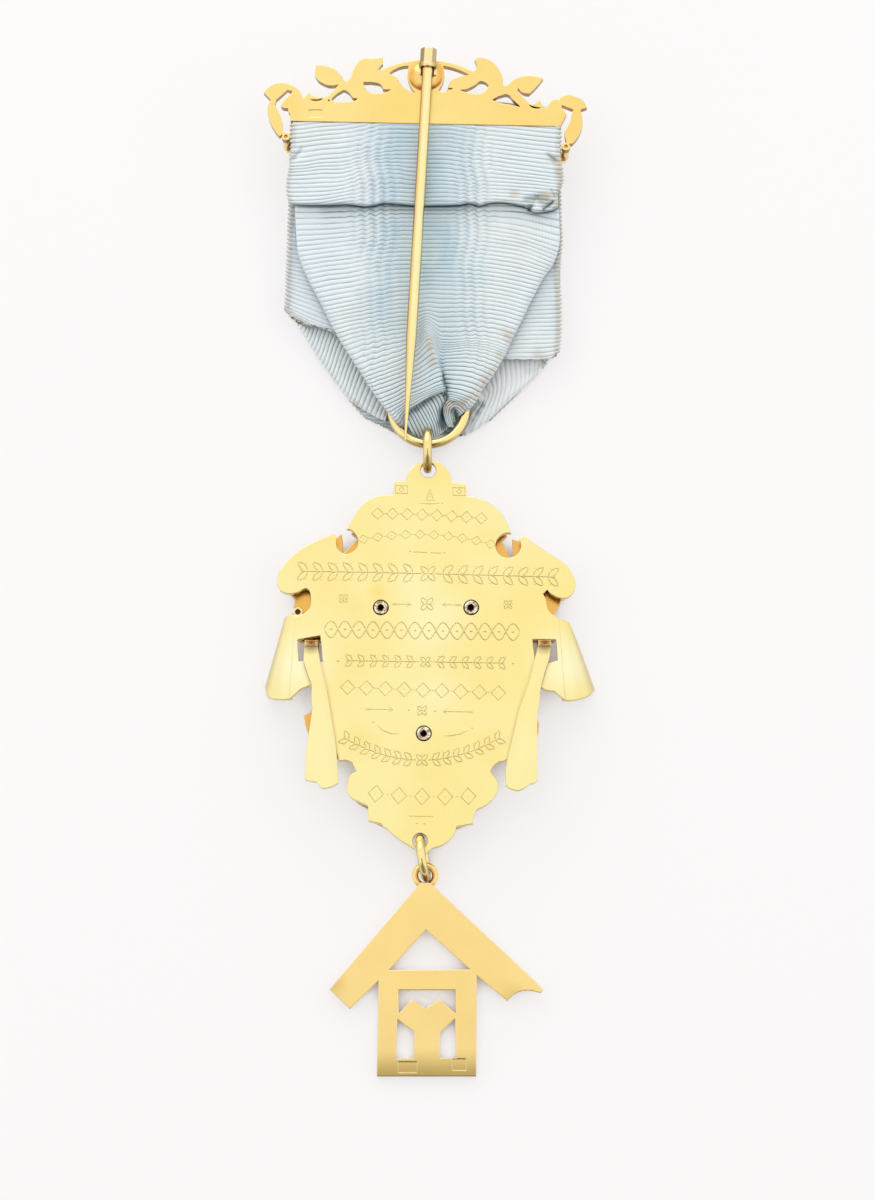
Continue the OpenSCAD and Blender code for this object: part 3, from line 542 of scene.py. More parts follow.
def trace(X, Y, points, w, a):
    """Soft mark along a line of points: amount a, half width w."""
    d = np.full(np.shape(X), 1e9)
    for (x0, y0), (x1, y1) in zip(points[:-1], points[1:]):
        d = np.minimum(d, seg(X, Y, x0, y0, x1, y1))
    return a * np.exp(-(d / w) ** 2)


def fold(s, r):
    """Offset and drop of cloth at arc length s past the start of a turn of radius r."""
    s = np.asarray(s, float)
    turn = np.pi * r
    off = np.where(s <= 0, s, np.where(s < turn, r * np.sin(np.clip(s, 0, turn) / r), -(s - turn)))
    drop = np.where(s <= 0, 0, np.where(s < turn, r * (1 - np.cos(np.clip(s, 0, turn) / r)), 2 * r))
    return off, drop


pieces = []


def cloth_piece(ob):
    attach(ob, "root")
    pieces.append(ob)
    return ob


# ---- top band: [x, then how far each rib lies below its height at x = 412]
BX = [288, 305, 320, 345, 362, 378, 395, 412, 430, 448, 465, 480, 492, 510, 530, 561]
BAND_ROWS = [
    # rib height at 412, offsets at BX
    (112, [14, 12, 10, 8, 5, 1, 0, 0, 0, 0, 2, 4, 5, 7, 9, 12]),
    (132, [14, 12.5, 10.5, 8.3, 5.5, 0.7, -0.5, 0, 0, 0, 2.5, 4.5, 6, 8, 10.5, 14]),
    (147, [17, 15.5, 13, 11, 7, 3, 0.3, 0, 0, 0, 2.5, 5, 6, 8.5, 11, 15]),
    (161, [13, 12, 10.5, 9.5, 4.5, 0, -0.5, 0, 0, 0.5, 3, 5, 6, 8.5, 11, 15]),
    (175, [12, 11.8, 11.3, 9, 3, -1.5, -2.5, 0, 0.5, 1, 3.5, 5, 6, 7, 8.5, 12]),
    (188, [12, 11.8, 11, 7, 4, 0, -1, 0, 0, 0, 2, 3.5, 4, 5, 6.5, 9]),
    (206, [9, 8, 6, 3, 2, 0, -1, 0, 0, 0, 0.5, 1, 1, 2, 4, 6]),
    (238, [6, 5, 4, 2, 1, 0, 0, 0, 0, 0, 0, 0, 0, 1, 2, 3])]
HEM = [(280, 202.5), (292, 204), (330, 204.8), (352, 204.5), (364, 206.3), (374, 205.3), (382, 203.4), (396, 203.8), (412, 205.2), (440, 205.4),
       (460, 204.6), (470, 203.2), (480, 205.6), (489, 203.2), (504, 202.6), (520, 205.3), (525, 206.5), (529, 209.5), (533, 212), (540, 212.3), (547, 211.3),
       (553, 209.8), (557, 208), (566, 207)]
BAND_L = [(100, 293.5), (122, 293), (140, 292), (152, 291), (166, 289), (183, 287), (195, 288.5), (206, 291.5), (250, 291)]
BAND_R = [(100, 559), (128, 559), (150, 559.5), (165, 562), (180, 561.5), (190, 557.5), (206, 557), (250, 557)]

RIBPX = 4.22
MU = 104


def watered(X, Y):
    """Watermark: how far the cords waver (in ribs), how pale and how dark they are at these places."""
    fade = 1 / (1 + np.exp((Y - 345) / 16.0))
    wl = np.exp(-((X - 375 - 3 * np.sin(Y / 37.0)) / 21.0) ** 2) * (0.65 + 0.35 * np.sin(Y / 29.0 + 1.0))
    wr = np.exp(-((X - 473 + 3 * np.sin(Y / 33.0)) / 17.0) ** 2) * (0.7 + 0.3 * np.sin(Y / 26.0))
    xs = X + 2.6 * np.sin(Y / 21.0 + 0.7) + 1.3 * np.sin(Y / 8.5 + 1.9)
    al, ar = 2 * np.pi * (xs - 356) / 10.4, 2 * np.pi * (xs - 460) / 10.0
    shift = 0.32 * fade * (wl * np.sin(al) + wr * np.sin(ar))
    light = fade * (wl * np.clip(np.cos(al + 0.6), 0, 1) ** 2 + wr * np.clip(np.cos(ar + 0.6), 0, 1) ** 2) * 1.0
    dark = fade * (wl * np.clip(-np.cos(al + 0.2), 0, 1) ** 3 + wr * np.clip(-np.cos(ar + 0.2), 0, 1) ** 3) * 0.26
    return shift, light, dark


def band():
    yc = np.array([r[0] for r in BAND_ROWS], float)
    off = np.array([r[1] for r in BAND_ROWS], float)
    v = np.arange(-4, (236 - 113) / RIBPX, 1 / 7.0)
    y412 = 113 + v * RIBPX
    cu = across(268, MU)
    offv = spline(yc, off, y412)                                   # (n, 16)
    xl, xr = line_at(BAND_L, y412 + 8), line_at(BAND_R, y412 + 8)
    X = xl[:, None] + (xr - xl)[:, None] * cu[None, :]
    Y = np.empty_like(X)
    for i in range(len(v)):
        Y[i] = y412[i] + spline(BX, offv[i], X[i])
    wave_v, light, dark = watered(X, Y)
    V = v[:, None] + wave_v
    # the hem: cloth below the hem line turns under
    hem = line_at(HEM, X.ravel()).reshape(X.shape)
    r = 2.6                                                        # turn radius, px
    s = Y - (hem - r)
    o, drop = fold(s, r)
    Yf = hem - r + o
    z = 6.0 - drop * 0.14 * 0.92
    # gentle swell, a waving hem, and the dip under the bar's edge
    z = z + 0.10 * np.sin(X / 17.0 + 0.6) * np.exp(-((Y - 195) / 16.0) ** 2)
    z = z + 0.14 * np.exp(-((X - 412) / 70.0) ** 2) * np.exp(-((Y - 165) / 30.0) ** 2)
    bar = 121.0 + (X - 292) * (5.4 / 268)
    z = z - 1.30 / (1 + np.exp((Y - bar + 0.9) / 0.20))
    # tuck at the left edge, and the tacked crumple at the right end
    tuck = np.exp(-(((X - 297) + (Y - 156) * 0.75) / 2.2) ** 2) * np.exp(-((Y - 157) / 7.0) ** 2) * (X < 306)
    z = z - 0.35 * tuck
    for cx, cy, ax, ay, hgt in ((547, 197, 5, 5, 0.4), (538, 200, 3.0, 6, -0.35), (533, 196, 4, 3, 0.15), (539, 206, 2.2, 4, 0.15),
                                (556, 196, 4, 4, -0.2), (552, 160, 4, 3.2, -0.35), (558, 168, 4, 5, 0.3), (559, 181, 3, 5, 0.25), (520, 200, 6, 4, 0.15)):
        z = z + hgt * np.exp(-((X - cx) / ax) ** 2 - ((Y - cy) / ay) ** 2)
    for x0, y0, x1, y1, w, d in ((544, 209, 553, 202, 1.1, 0.5), (527, 212, 531, 206, 1.4, 0.55), (547, 154, 556, 161, 1.2, 0.3), (533, 203, 537, 196, 1.3, 0.3),
                                 (551, 190, 554, 197, 1.4, 0.3)):
        z = z - d * np.exp(-(seg(X, Y, x0, y0, x1, y1) / w) ** 2)
    P = to_mm(X, Yf, z)
    P = relief(P, V, 1.0)
    scallop(P, v, "both", 0.20)
    shade = (trace(X, Yf, [(527, 211), (530, 208), (532, 206)], 1.6, 0.9) + trace(X, Yf, [(543, 210), (549, 206), (554, 202)], 1.2, 0.8)
             + trace(X, Yf, [(526, 199), (536, 197), (545, 197)], 3.6, 0.55) + trace(X, Yf, [(547, 154), (552, 158), (557, 162)], 1.2, 0.5)
             + trace(X, Yf, [(293, 156), (298, 152), (301, 148)], 1.4, 0.35) + 0.45 * np.exp(-((Y - hem + 0.4) / 1.8) ** 2) + dark
             + trace(X, Yf, [(540, 200), (545, 206)], 2.4, 0.35))
    warm = (trace(X, Yf, [(546, 195), (550, 202)], 4.0, 0.9) + trace(X, Yf, [(512, 192), (517, 194)], 3.0, 0.6) + trace(X, Yf, [(557, 160), (560, 185)], 3.4, 0.9)
            + trace(X, Yf, [(558, 190), (557, 215)], 2.6, 0.8))
    # pale: the watermark, and painted light along the band just below the bar's edge, where the cloth dips under it
    ob = shell("ribbon_band", P, cu[None, :], V, 0.32, cloth, {"shade": shade, "warm": warm, "depth": 0.12 * np.ones_like(X), "pale": np.maximum(light, 0.5 * np.exp(-((Y - bar - 1.0) / 2.2) ** 2))})
    return cloth_piece(ob)


band()

# ---- back point: each row is one rib, from the cloth folded under at the left to the cloth folded under at the right.
# columns: under, edge, six of the left half, crest, crease, six of the right half, edge, under
BU = [-19, -16.6, -16, -12.5, -9, -5.5, -2.5, -0.5, 1.0, 2.2, 4.0, 6.5, 9.0, 11.5, 14.0, 16.2, 16.8, 19]
BACK_ROWS = [
    (-4.0, [(312, 190, -.9), (295, 190, -.4), (296, 190, 0), (325, 190, 0), (350, 190, 0), (375, 190, 0), (400, 190, 0), (418, 190, 0),
            (430, 190, 0), (440, 190, 0), (452, 190, 0), (466, 190, 0), (480, 190, 0), (500, 190, 0), (525, 190, 0), (557, 190, 0), (559, 190, -.4), (548, 190, -.9)]),
    (0.0, [(312, 207, -.9), (295, 207, -.4), (296, 207, -.05), (325, 207, 0), (350, 206.5, 0), (375, 206, .05), (400, 206, 0), (418, 206, 0),
           (430, 206, 0), (440, 206, 0), (452, 206, 0), (466, 206, 0), (480, 206.5, .05), (500, 206, 0), (525, 207, 0), (557, 213, -.1), (559, 213, -.4), (548, 213, -.9)]),
    (3.9, [(313, 230, -.9), (296, 230, -.4), (297.5, 230, -.05), (325, 229, .05), (350, 227, .1), (375, 223.5, .1), (400, 222, .05), (418, 222, 0),
           (430, 222, 0), (440, 222, 0), (452, 222, 0), (466, 223, .05), (480, 225, .1), (500, 227.5, .1), (525, 232, .1), (557.5, 241, 0), (559.5, 241, -.4), (548, 241, -.9)]),
    (8.1, [(314, 252, -.9), (298, 252, -.4), (299.5, 252, -.05), (325, 249, .1), (350, 246, .15), (375, 242, .15), (400, 240, .1), (418, 240, .05),
           (430, 240, 0), (440, 240, 0), (452, 240, .05), (466, 240.5, .1), (480, 242, .15), (500, 244.5, .15), (525, 249, .15), (553, 259.5, 0), (555, 260, -.4), (545, 257, -.9)]),
    (14.0, [(321, 278, -.9), (308, 279, -.4), (309.5, 279, -.05), (328, 275.5, .1), (350, 273, .2), (375, 268, .2), (400, 265, .15), (418, 265, .05),
            (430, 265, 0), (440, 265, 0), (452, 265, .05), (465, 265.5, .15), (480, 267, .2), (500, 269.5, .2), (520, 273, .15), (541.5, 278, 0), (543.5, 278, -.4), (534, 276, -.9)]),
    (19.9, [(333, 305, -.9), (322, 306, -.4), (323.5, 306, -.05), (340, 303, .15), (358, 299.5, .25), (378, 295, .25), (400, 291, .15), (418, 290, .05),
            (430, 289, 0), (440, 289.5, -.05), (452, 290, 0), (465, 290.5, .15), (480, 291.5, .25), (496, 293.5, .25), (512, 296.5, .15), (529.2, 301, 0), (531.2, 301, -.4), (523, 299, -.9)]),
    (25.1, [(342, 324, -.9), (332, 326, -.4), (333.5, 326, -.05), (348, 322.5, .15), (364, 319.5, .25), (382, 316, .25), (402, 313, .15), (418, 313, .1),
            (428, 311, .25), (438, 313, -.1), (448, 313, 0), (460, 312.5, .15), (475, 313, .25), (490, 314.5, .25), (505, 317, .15), (519.5, 321, 0), (521.5, 321, -.4), (514, 319, -.9)]),
    (30.3, [(353, 345, -.9), (344, 347, -.4), (345.5, 347, -.05), (358, 343, .15), (372, 340, .25), (386, 337, .25), (402, 334.5, .15), (418, 332, .2),
            (428, 325.5, .55), (438, 335.5, -.35), (447, 337.5, -.3), (457, 337.5, 0), (469, 336.5, .2), (482, 337, .3), (496, 339.5, .2), (508, 343.5, 0), (510, 344, -.4), (503, 342, -.9)]),
    (35.9, [(369, 371, -.9), (361, 373, -.4), (362.5, 373, -.05), (372, 369.5, .15), (383, 366, .25), (394, 362, .25), (404, 358, .2), (418, 349.5, .25),
            (430, 339, .6), (438.5, 350.5, -.5), (447, 352, -.4), (456, 351.5, -.05), (467, 350.5, .15), (479, 352, .25), (490, 355, .2), (500.5, 359, 0), (502.5, 359.5, -.4), (496, 357, -.9)]),
    (40.3, [(378, 385, -.9), (370, 388, -.4), (371.5, 388, -.05), (379, 386, .15), (388, 383, .25), (396, 380, .25), (404, 377, .2), (419, 370.5, .25),
            (437, 360, .55), (440.5, 368, -.6), (446, 367.5, -.5), (455, 367.5, -.1), (465, 368, .1), (475, 370, .2), (484, 373.5, .15), (489.5, 376, 0), (491.5, 377, -.4), (486, 374, -.9)]),
    (43.5, [(386, 397, -.9), (379, 400.5, -.4), (380.5, 400.5, -.05), (387, 398.5, .1), (393, 396, .2), (399, 393, .25), (405, 389.5, .2), (420, 384, .2),
            (441, 374, .45), (441.5, 381.5, -.7), (446, 381.5, -.6), (453, 382, -.15), (462, 383, .05), (470, 385, .15), (476.5, 387.5, .1), (480, 389.5, 0), (482, 390, -.4), (477, 387, -.9)]),
    (46.0, [(391, 405, -.9), (385, 408.5, -.4), (386.5, 408.5, -.05), (391, 407, .05), (396, 404.5, .15), (401, 402, .2), (406, 399, .15), (421, 393, .15),
            (444, 384, .4), (443, 390.5, -.75), (447, 391.5, -.65), (452, 392, -.2), (459, 393.5, 0), (466, 396, .1), (471, 398, .05), (474.5, 400, 0), (476.5, 400.5, -.4), (472, 398, -.9)]),
    (48.0, [(395, 412, -1), (390, 415, -.45), (391.5, 415, -.1), (395, 413, 0), (399, 410, .05), (403, 407, .1), (409, 403, .1), (425, 395, .1),
            (445.3, 388.5, .3), (444, 395.5, -1.0), (447, 396.5, -.8), (451, 396.5, -.3), (457, 398, -.1), (463, 400.5, -.02), (467.5, 403, -.02), (470, 406, -.1), (472, 406.5, -.4), (468, 404, -.9)]),
    (49.6, [(398.5, 416.5, -1.1), (394, 420, -.6), (395.5, 419.5, -.2), (399, 415.5, -.12), (402, 411.5, -.08), (405, 408.5, -.05), (412, 406.5, -.1), (429, 396.5, -.05),
            (445.6, 390.8, .0), (444.5, 397, -1.5), (446.5, 399.5, -1.3), (450.5, 400, -.4), (455.5, 401, -.35), (460.5, 403.5, -.4), (464.5, 406.5, -.5), (466.5, 409.5, -.6), (468, 410, -.8), (465.5, 408, -1.05)]),
    (51.0, [(401, 420, -1.2), (397.5, 424, -.95), (399, 423.5, -.6), (401.5, 419.5, -.5), (403.5, 416, -.45), (406, 412, -.45), (412.5, 407.8, -.45), (429.5, 397.4, -.45),
            (445.0, 391.8, -.40), (444.5, 397, -1.9), (446, 399.5, -1.8), (450, 401.5, -.9), (454.5, 402.3, -.9), (459, 405, -.9), (463, 408, -1), (465, 411, -1), (466.5, 411.5, -1.15), (464, 409.5, -1.25)]),
    (52.4, [(403.5, 423.5, -1.4), (401, 427.5, -1.3), (402.5, 427, -1.1), (404, 423.5, -1.1), (405.5, 419, -1.1), (407, 413, -1.1), (411, 406, -1.1), (427, 395.5, -1.1),
            (443.0, 390, -1.0), (443.5, 394, -2.1), (446, 397, -2.0), (450, 399.5, -1.3), (454, 400.5, -1.3), (458, 403, -1.3), (461.5, 406, -1.35), (463.5, 408.5, -1.35), (464.5, 409, -1.45), (462, 407, -1.5)])]


def net(rows, us, mu, per_rib, z0, amount=1.0, under=None):
    vs = [r[0] for r in rows]
    G = np.array([r[1] for r in rows], float)                       # (R, C, 3)
    v = np.arange(vs[0], vs[-1] + 1e-6, 1.0 / per_rib)
    cu = np.linspace(us[0], us[-1], mu)
    H = spline(us, np.swapaxes(G, 0, 1), cu)                        # (mu, R, 3)
    S = spline(vs, np.swapaxes(H, 0, 1), v)                         # (n, mu, 3)
    P = to_mm(S[..., 0], S[..., 1], z0 + S[..., 2])
    V = np.broadcast_to(v[:, None], P.shape[:2])
    U = np.broadcast_to((cu / 38.0 + 0.5)[None, :], P.shape[:2])
    return P, U, V, v, S[..., 0], S[..., 1]


CREASE = [(441, 362), (443, 376), (444, 384), (446, 390), (447.5, 397), (445.5, 403), (442, 410), (440, 418), (438, 424)]
LIP = [(403, 415), (411, 410), (417, 407.5), (424, 401.5), (430, 397), (437, 394), (444, 393.5)]
P, U, V, v, X, Y = net(BACK_ROWS, BU, 132, 7, 4.72)
wave_v, light, dark = watered(X, Y)
V = V + wave_v
P = relief(P, V, 1.0)
under = Y - line_at(HEM, X.ravel()).reshape(X.shape)
shade = (1.1 * np.exp(-(np.maximum(under - 0.6, 0) / 1.7) ** 2.2) + trace(X, Y, [(322, 209), (470, 209)], 3.6, 0.22) + dark + trace(X, Y, CREASE[1:5], 1.2, 0.75)
         + trace(X, Y, CREASE[:3], 2.4, 0.25) + 0.35 * np.clip((v[:, None] - 49.8) / 1.2, 0, 1) + 0.0 * X)
warm = (trace(X, Y, [(429, 338), (431, 352), (434, 366)], 3.2, 1.1) + trace(X, Y, [(404, 414), (418, 407), (434, 397)], 3.5, 0.7)
        + trace(X, Y, [(488, 372), (474, 396), (462, 404)], 5.0, 0.6) + trace(X, Y, [(505, 330), (509, 340)], 4.0, 0.4)
        + trace(X, Y, [(462, 400), (474, 397)], 3.0, 0.7) + trace(X, Y, [(500, 352), (484, 380)], 3.0, 0.35))
depth = (0.16 + 0.50 * np.clip((v[:, None] - 24) / 22, 0, 1) + trace(X, Y, [(444, 384), (452, 398), (470, 404)], 9.0, 0.45)
         + trace(X, Y, [(372, 385), (398, 418)], 9.0, 0.35) + trace(X, Y, [(330, 213), (520, 213)], 8.0, 0.55))
crown = 0.45 * np.clip((v[:, None] - 24) / 12, 0, 1) * (1 - np.exp(-((X - 440) / 26.0) ** 2)) + 0.0 * X
ob = shell("ribbon_back", P, 0.5 + (U - 0.5) * 0.93, V, 0.30, cloth, {"shade": shade, "warm": warm, "depth": depth + 0.75 * crown, "pale": np.maximum(light, crown)})
cloth_piece(ob)

# ---- pocket of the loop inside the ring, seen below the lip of the back point; rows are ribs
POCKET_ROWS = [
    (0, [(403, 415, -.75), (405.5, 420, -.85), (408, 426, -1.0), (410.5, 431, -1.3), (413, 436, -1.8)]),
    (2, [(406, 408, -.7), (410, 414.5, -.75), (414, 422, -.85), (418, 430, -1.2), (421.5, 438, -1.8)]),
    (4.5, [(411, 402, -.65), (416.5, 409.5, -.65), (421.5, 418, -.75), (426.5, 427.5, -1.05), (430, 438, -1.7)]),
    (7, [(417.5, 398, -.65), (423.5, 405.5, -.6), (428.5, 414, -.7), (433, 424, -1.0), (436, 437, -1.7)]),
    (9.5, [(424.5, 394, -.65), (430.5, 401.5, -.6), (434.5, 409, -.7), (437.5, 419, -1.05), (441, 434, -1.7)]),
    (11.5, [(431, 391, -.7), (437, 397.5, -.6), (440.5, 405, -.8), (440.5, 417, -1.4), (445, 431, -1.9)]),
    (13, [(437, 389, -.8), (442, 394.5, -.65), (444.5, 401.5, -.9), (441.5, 416, -1.8), (448, 429, -2.0)]),
    (14.5, [(443, 388, -1.0), (446.5, 394, -.9), (447, 401, -1.3), (443.5, 415, -2.1), (450, 427, -2.2)])]
P, U, V, v, X, Y = net(POCKET_ROWS, [0, 1.4, 2.8, 4.2, 6.0], 40, 9, 4.5)
P = relief(P, V, 1.4)
shade = (trace(X, Y, [(x + 1, y + 1.5) for x, y in LIP[:-2]], 2.2, 0.7) + trace(X, Y, [(443, 409), (441.5, 415), (441, 421), (443, 428)], 3.2, 1.0) + 0.08)
loop = shell("ribbon_loop", P, 0.5 + U * 0.0, V, 0.3, cloth, {"shade": shade, "warm": 0.25 * np.ones_like(X), "depth": 1.1 * np.ones_like(X)})
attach(loop, "root")
pieces.append(loop)

# ---- end of the right half, curled over the ring beside the pocket; rows are ribs, from the outermost inwards
CURL_ROWS = [
    (0, [(447.5, 426, -.9), (443.5, 413, -.5), (445, 403.5, -.25), (452, 397.5, -.15), (462, 398, -.1), (470, 404, 0)]),
    (1.3, [(449.5, 427, -.9), (445.5, 413, -.45), (447, 405.5, -.15), (453, 400.6, -.05), (461, 401.5, 0), (468, 407, 0)]),
    (2.6, [(451.5, 427, -.9), (448, 414, -.45), (449, 407.8, -.1), (453.8, 403.8, 0), (460, 404.8, .05), (466, 410, 0)]),
    (3.9, [(453, 427, -.95), (450.5, 416, -.5), (451, 410.2, -.2), (454.3, 406.8, -.05), (458.8, 408.2, 0), (463.5, 413, -.05)]),
    (5.2, [(452, 425, -1.1), (452, 417, -.75), (452.5, 412, -.6), (454.5, 409.2, -.45), (457.6, 411.2, -.3), (461, 415, -.3)]),
    (6.5, [(455, 422, -1.3), (454.5, 417.5, -1.1), (454.5, 414, -1.1), (455.3, 412.2, -1.0), (456.5, 414, -.9), (458.5, 417, -.8)])]
P, U, V, v, X, Y = net(CURL_ROWS, [0, 1.6, 3.2, 4.6, 6.0, 7.6], 44, 9, 3.98)
P = relief(P, V, 1.3)
shade = trace(X, Y, [(455, 411), (457, 417), (457, 424)], 3.0, 0.9) + trace(X, Y, [(451, 399), (458, 400.5), (467, 407)], 1.2, 0.25)
warm = trace(X, Y, [(445, 410), (450, 402), (460, 404), (466, 410)], 5.0, 1.2) + 0.25
curl = shell("ribbon_curl", P, 0.5 + U * 0.0, V, 0.28, cloth, {"shade": shade, "warm": warm, "depth": 1.0 * np.ones_like(X)})
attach(curl, "root")
pieces.append(curl)

# ---- cut tail: rows are ribs; only its two ends show
TX = [288, 300, 330, 360, 437, 500, 520, 545, 559]
TAIL_ROWS = [
    # rib number, heights at TX
    (-20, [124, 124, 124, 124, 125, 126, 126, 127, 127]),
    (0, [208, 208, 208, 208, 209, 210, 210, 211, 211]),
    (8, [241, 242, 243, 244, 243, 243, 243, 243, 243]),
    (14, [266, 268, 272, 274, 270, 268, 268, 268, 268]),
    (20, [288, 292, 300, 306, 297, 294, 294, 293, 293]),
    (25.4, [309, 315, 327, 334, 320, 317, 316.5, 316, 315.5]),
    (31, [312, 324, 342, 352, 344, 341, 340, 339.5, 339]),
    (35.6, [314, 326, 350, 366, 364, 360.5, 360, 359.5, 356])]
TAIL_L = [(120, 292), (206, 290.5), (222, 289.5), (240, 289), (262, 288), (290, 287), (312, 287.5), (330, 300), (370, 330)]
TAIL_R = [(120, 559), (215, 559.5), (245, 560.5), (270, 557.5), (300, 559.5), (330, 559.5), (345, 558.5), (353, 557), (358, 553), (370, 550)]
TAIL_CUT = [(286, 309), (289, 312.5), (293, 317), (299, 322), (306, 324.5), (314, 326), (325, 329), (336, 335), (350, 341), (380, 350), (437, 357),
            (480, 358.5), (503, 359), (530, 359.6), (545, 359.2), (552, 357.5), (557, 352.5), (562, 346)]


def tail():
    vs = np.array([r[0] for r in TAIL_ROWS], float)
    Y0 = np.array([r[1] for r in TAIL_ROWS], float)
    v = np.arange(-20, 35.6, 1 / 6.0)
    cu = across(269, 96)
    Yv = spline(vs, Y0, v)
    X = np.empty((len(v), len(cu)))
    Y = np.empty_like(X)
    for i in range(len(v)):
        xl = line_at(TAIL_L, [Yv[i, 0]])[0]
        xr = line_at(TAIL_R, [Yv[i, -1]])[0]
        X[i] = xl + (xr - xl) * cu
        Y[i] = spline(TX, Yv[i], X[i])
    V = np.broadcast_to(v[:, None], X.shape)
    cut = line_at(TAIL_CUT, X.ravel()).reshape(X.shape)
    fray = 0.28 * np.sin(X * 2.9) + 0.2 * np.sin(X * 5.3 + 1.0)
    over = Y - (cut + fray)
    Y = np.where(over > 0, cut + fray, Y)
    z = 3.22 + 0.12 * np.sin(X / 26.0) - 0.10 * np.exp(-((X - 292) / 14.0) ** 2)
    z = z - 1.3 / (1 + np.exp((Y - 131) / 4.0))
    z = z + 0.10 * np.sin(Y / 11.0) * np.exp(-((X - 559) / 10.0) ** 2)
    P = to_mm(X, Y, z)
    keep = np.clip(1 - np.maximum(over, 0) / 1.0, 0, 1)
    P[..., 2] += 0
    nor = normals(to_mm(X, Y + np.maximum(over, 0) * 1.0, z))
    P = P + np.where(nor[..., 2:3] < 0, -nor, nor) * (cords(V) * keep)[..., None]
    scallop(P, v, "both", 0.36)
    rows = (over.min(axis=1) <= 0.5)
    P, V, X, Y = P[rows], V[rows], X[rows], Y[rows]
    shade = (0.5 * np.exp(-((Y - 205.5) / 1.6) ** 2) + trace(X, Y, [(297.5, 212), (299, 245), (309, 278), (333, 324)], 1.6, 0.35)
             + 0.6 * np.exp(-((X - 295.8) / 0.8) ** 2) * (Y < 262) * 0.5)
    warm = (np.exp(-((X - 290) / 4.5) ** 2) * 0.5 + np.exp(-((X - 558) / 4.5) ** 2) * 0.7 + trace(X, Y, [(537, 352), (545, 358)], 4.0, 0.7)
            + trace(X, Y, [(292, 316), (300, 323), (330, 331)], 3.0, 0.35) + trace(X, Y, [(505, 359), (553, 358)], 2.0, 0.3))
    ob = shell("ribbon_tail", P, cu[None, :], V, 0.30, cloth, {"shade": shade, "warm": warm, "depth": 0.02 + 0 * X,
                                                                    "pale": np.exp(-((Y - line_at(TAIL_CUT, X.ravel()).reshape(X.shape)) / 2.5) ** 2)})
    return cloth_piece(ob)


tail()

# ---- folded corners: rows are ribs, from the hidden inner end to the fold
CORNER_L = [
    (0, [(306, 300, 0), (304, 309, 0), (302, 317, 0), (300, 323, 0), (298.5, 325, -.45), (299.5, 325, -1.2)]),
    (3.0, [(317, 305, 0), (314, 315, 0), (310.5, 326, 0), (307.5, 336, 0), (306, 338, -.45), (307, 338, -1.2)]),
    (6.6, [(332, 309, 0), (328, 321, 0), (322.5, 336, 0), (317, 352, 0), (315.5, 354, -.45), (316.5, 354, -1.2)]),
    (10.4, [(345, 320, 0), (340, 334, 0), (334, 350, 0), (328, 368, 0), (326.5, 370, -.45), (327.5, 370, -1.2)]),
    (13.8, [(355, 335, 0), (350, 349, 0), (344, 365, 0), (338, 382, 0), (336.5, 384, -.45), (337.5, 384, -1.2)]),
    (17.0, [(364, 350, 0), (359, 364, 0), (353, 380, 0), (348, 395, 0), (346.5, 397, -.45), (347.5, 397, -1.2)]),
    (19.4, [(371, 364, 0), (366, 377, 0), (360.5, 391, 0), (356, 402, 0), (354.5, 403.5, -.45), (355.5, 403.5, -1.2)]),
    (21.8, [(378, 380, 0), (374, 390, 0), (370, 400, 0), (366, 409, 0), (365, 410.5, -.45), (366, 410.5, -1.2)]),
    (24.0, [(387, 392, 0), (383, 400, 0), (379, 408, 0), (376, 415, 0), (375, 416.5, -.45), (376, 416.5, -1.2)]),
    (26.4, [(392, 402, 0), (389, 408, 0), (387, 414, 0), (385.5, 419.5, 0), (385, 421, -.45), (386, 421, -1.2)])]
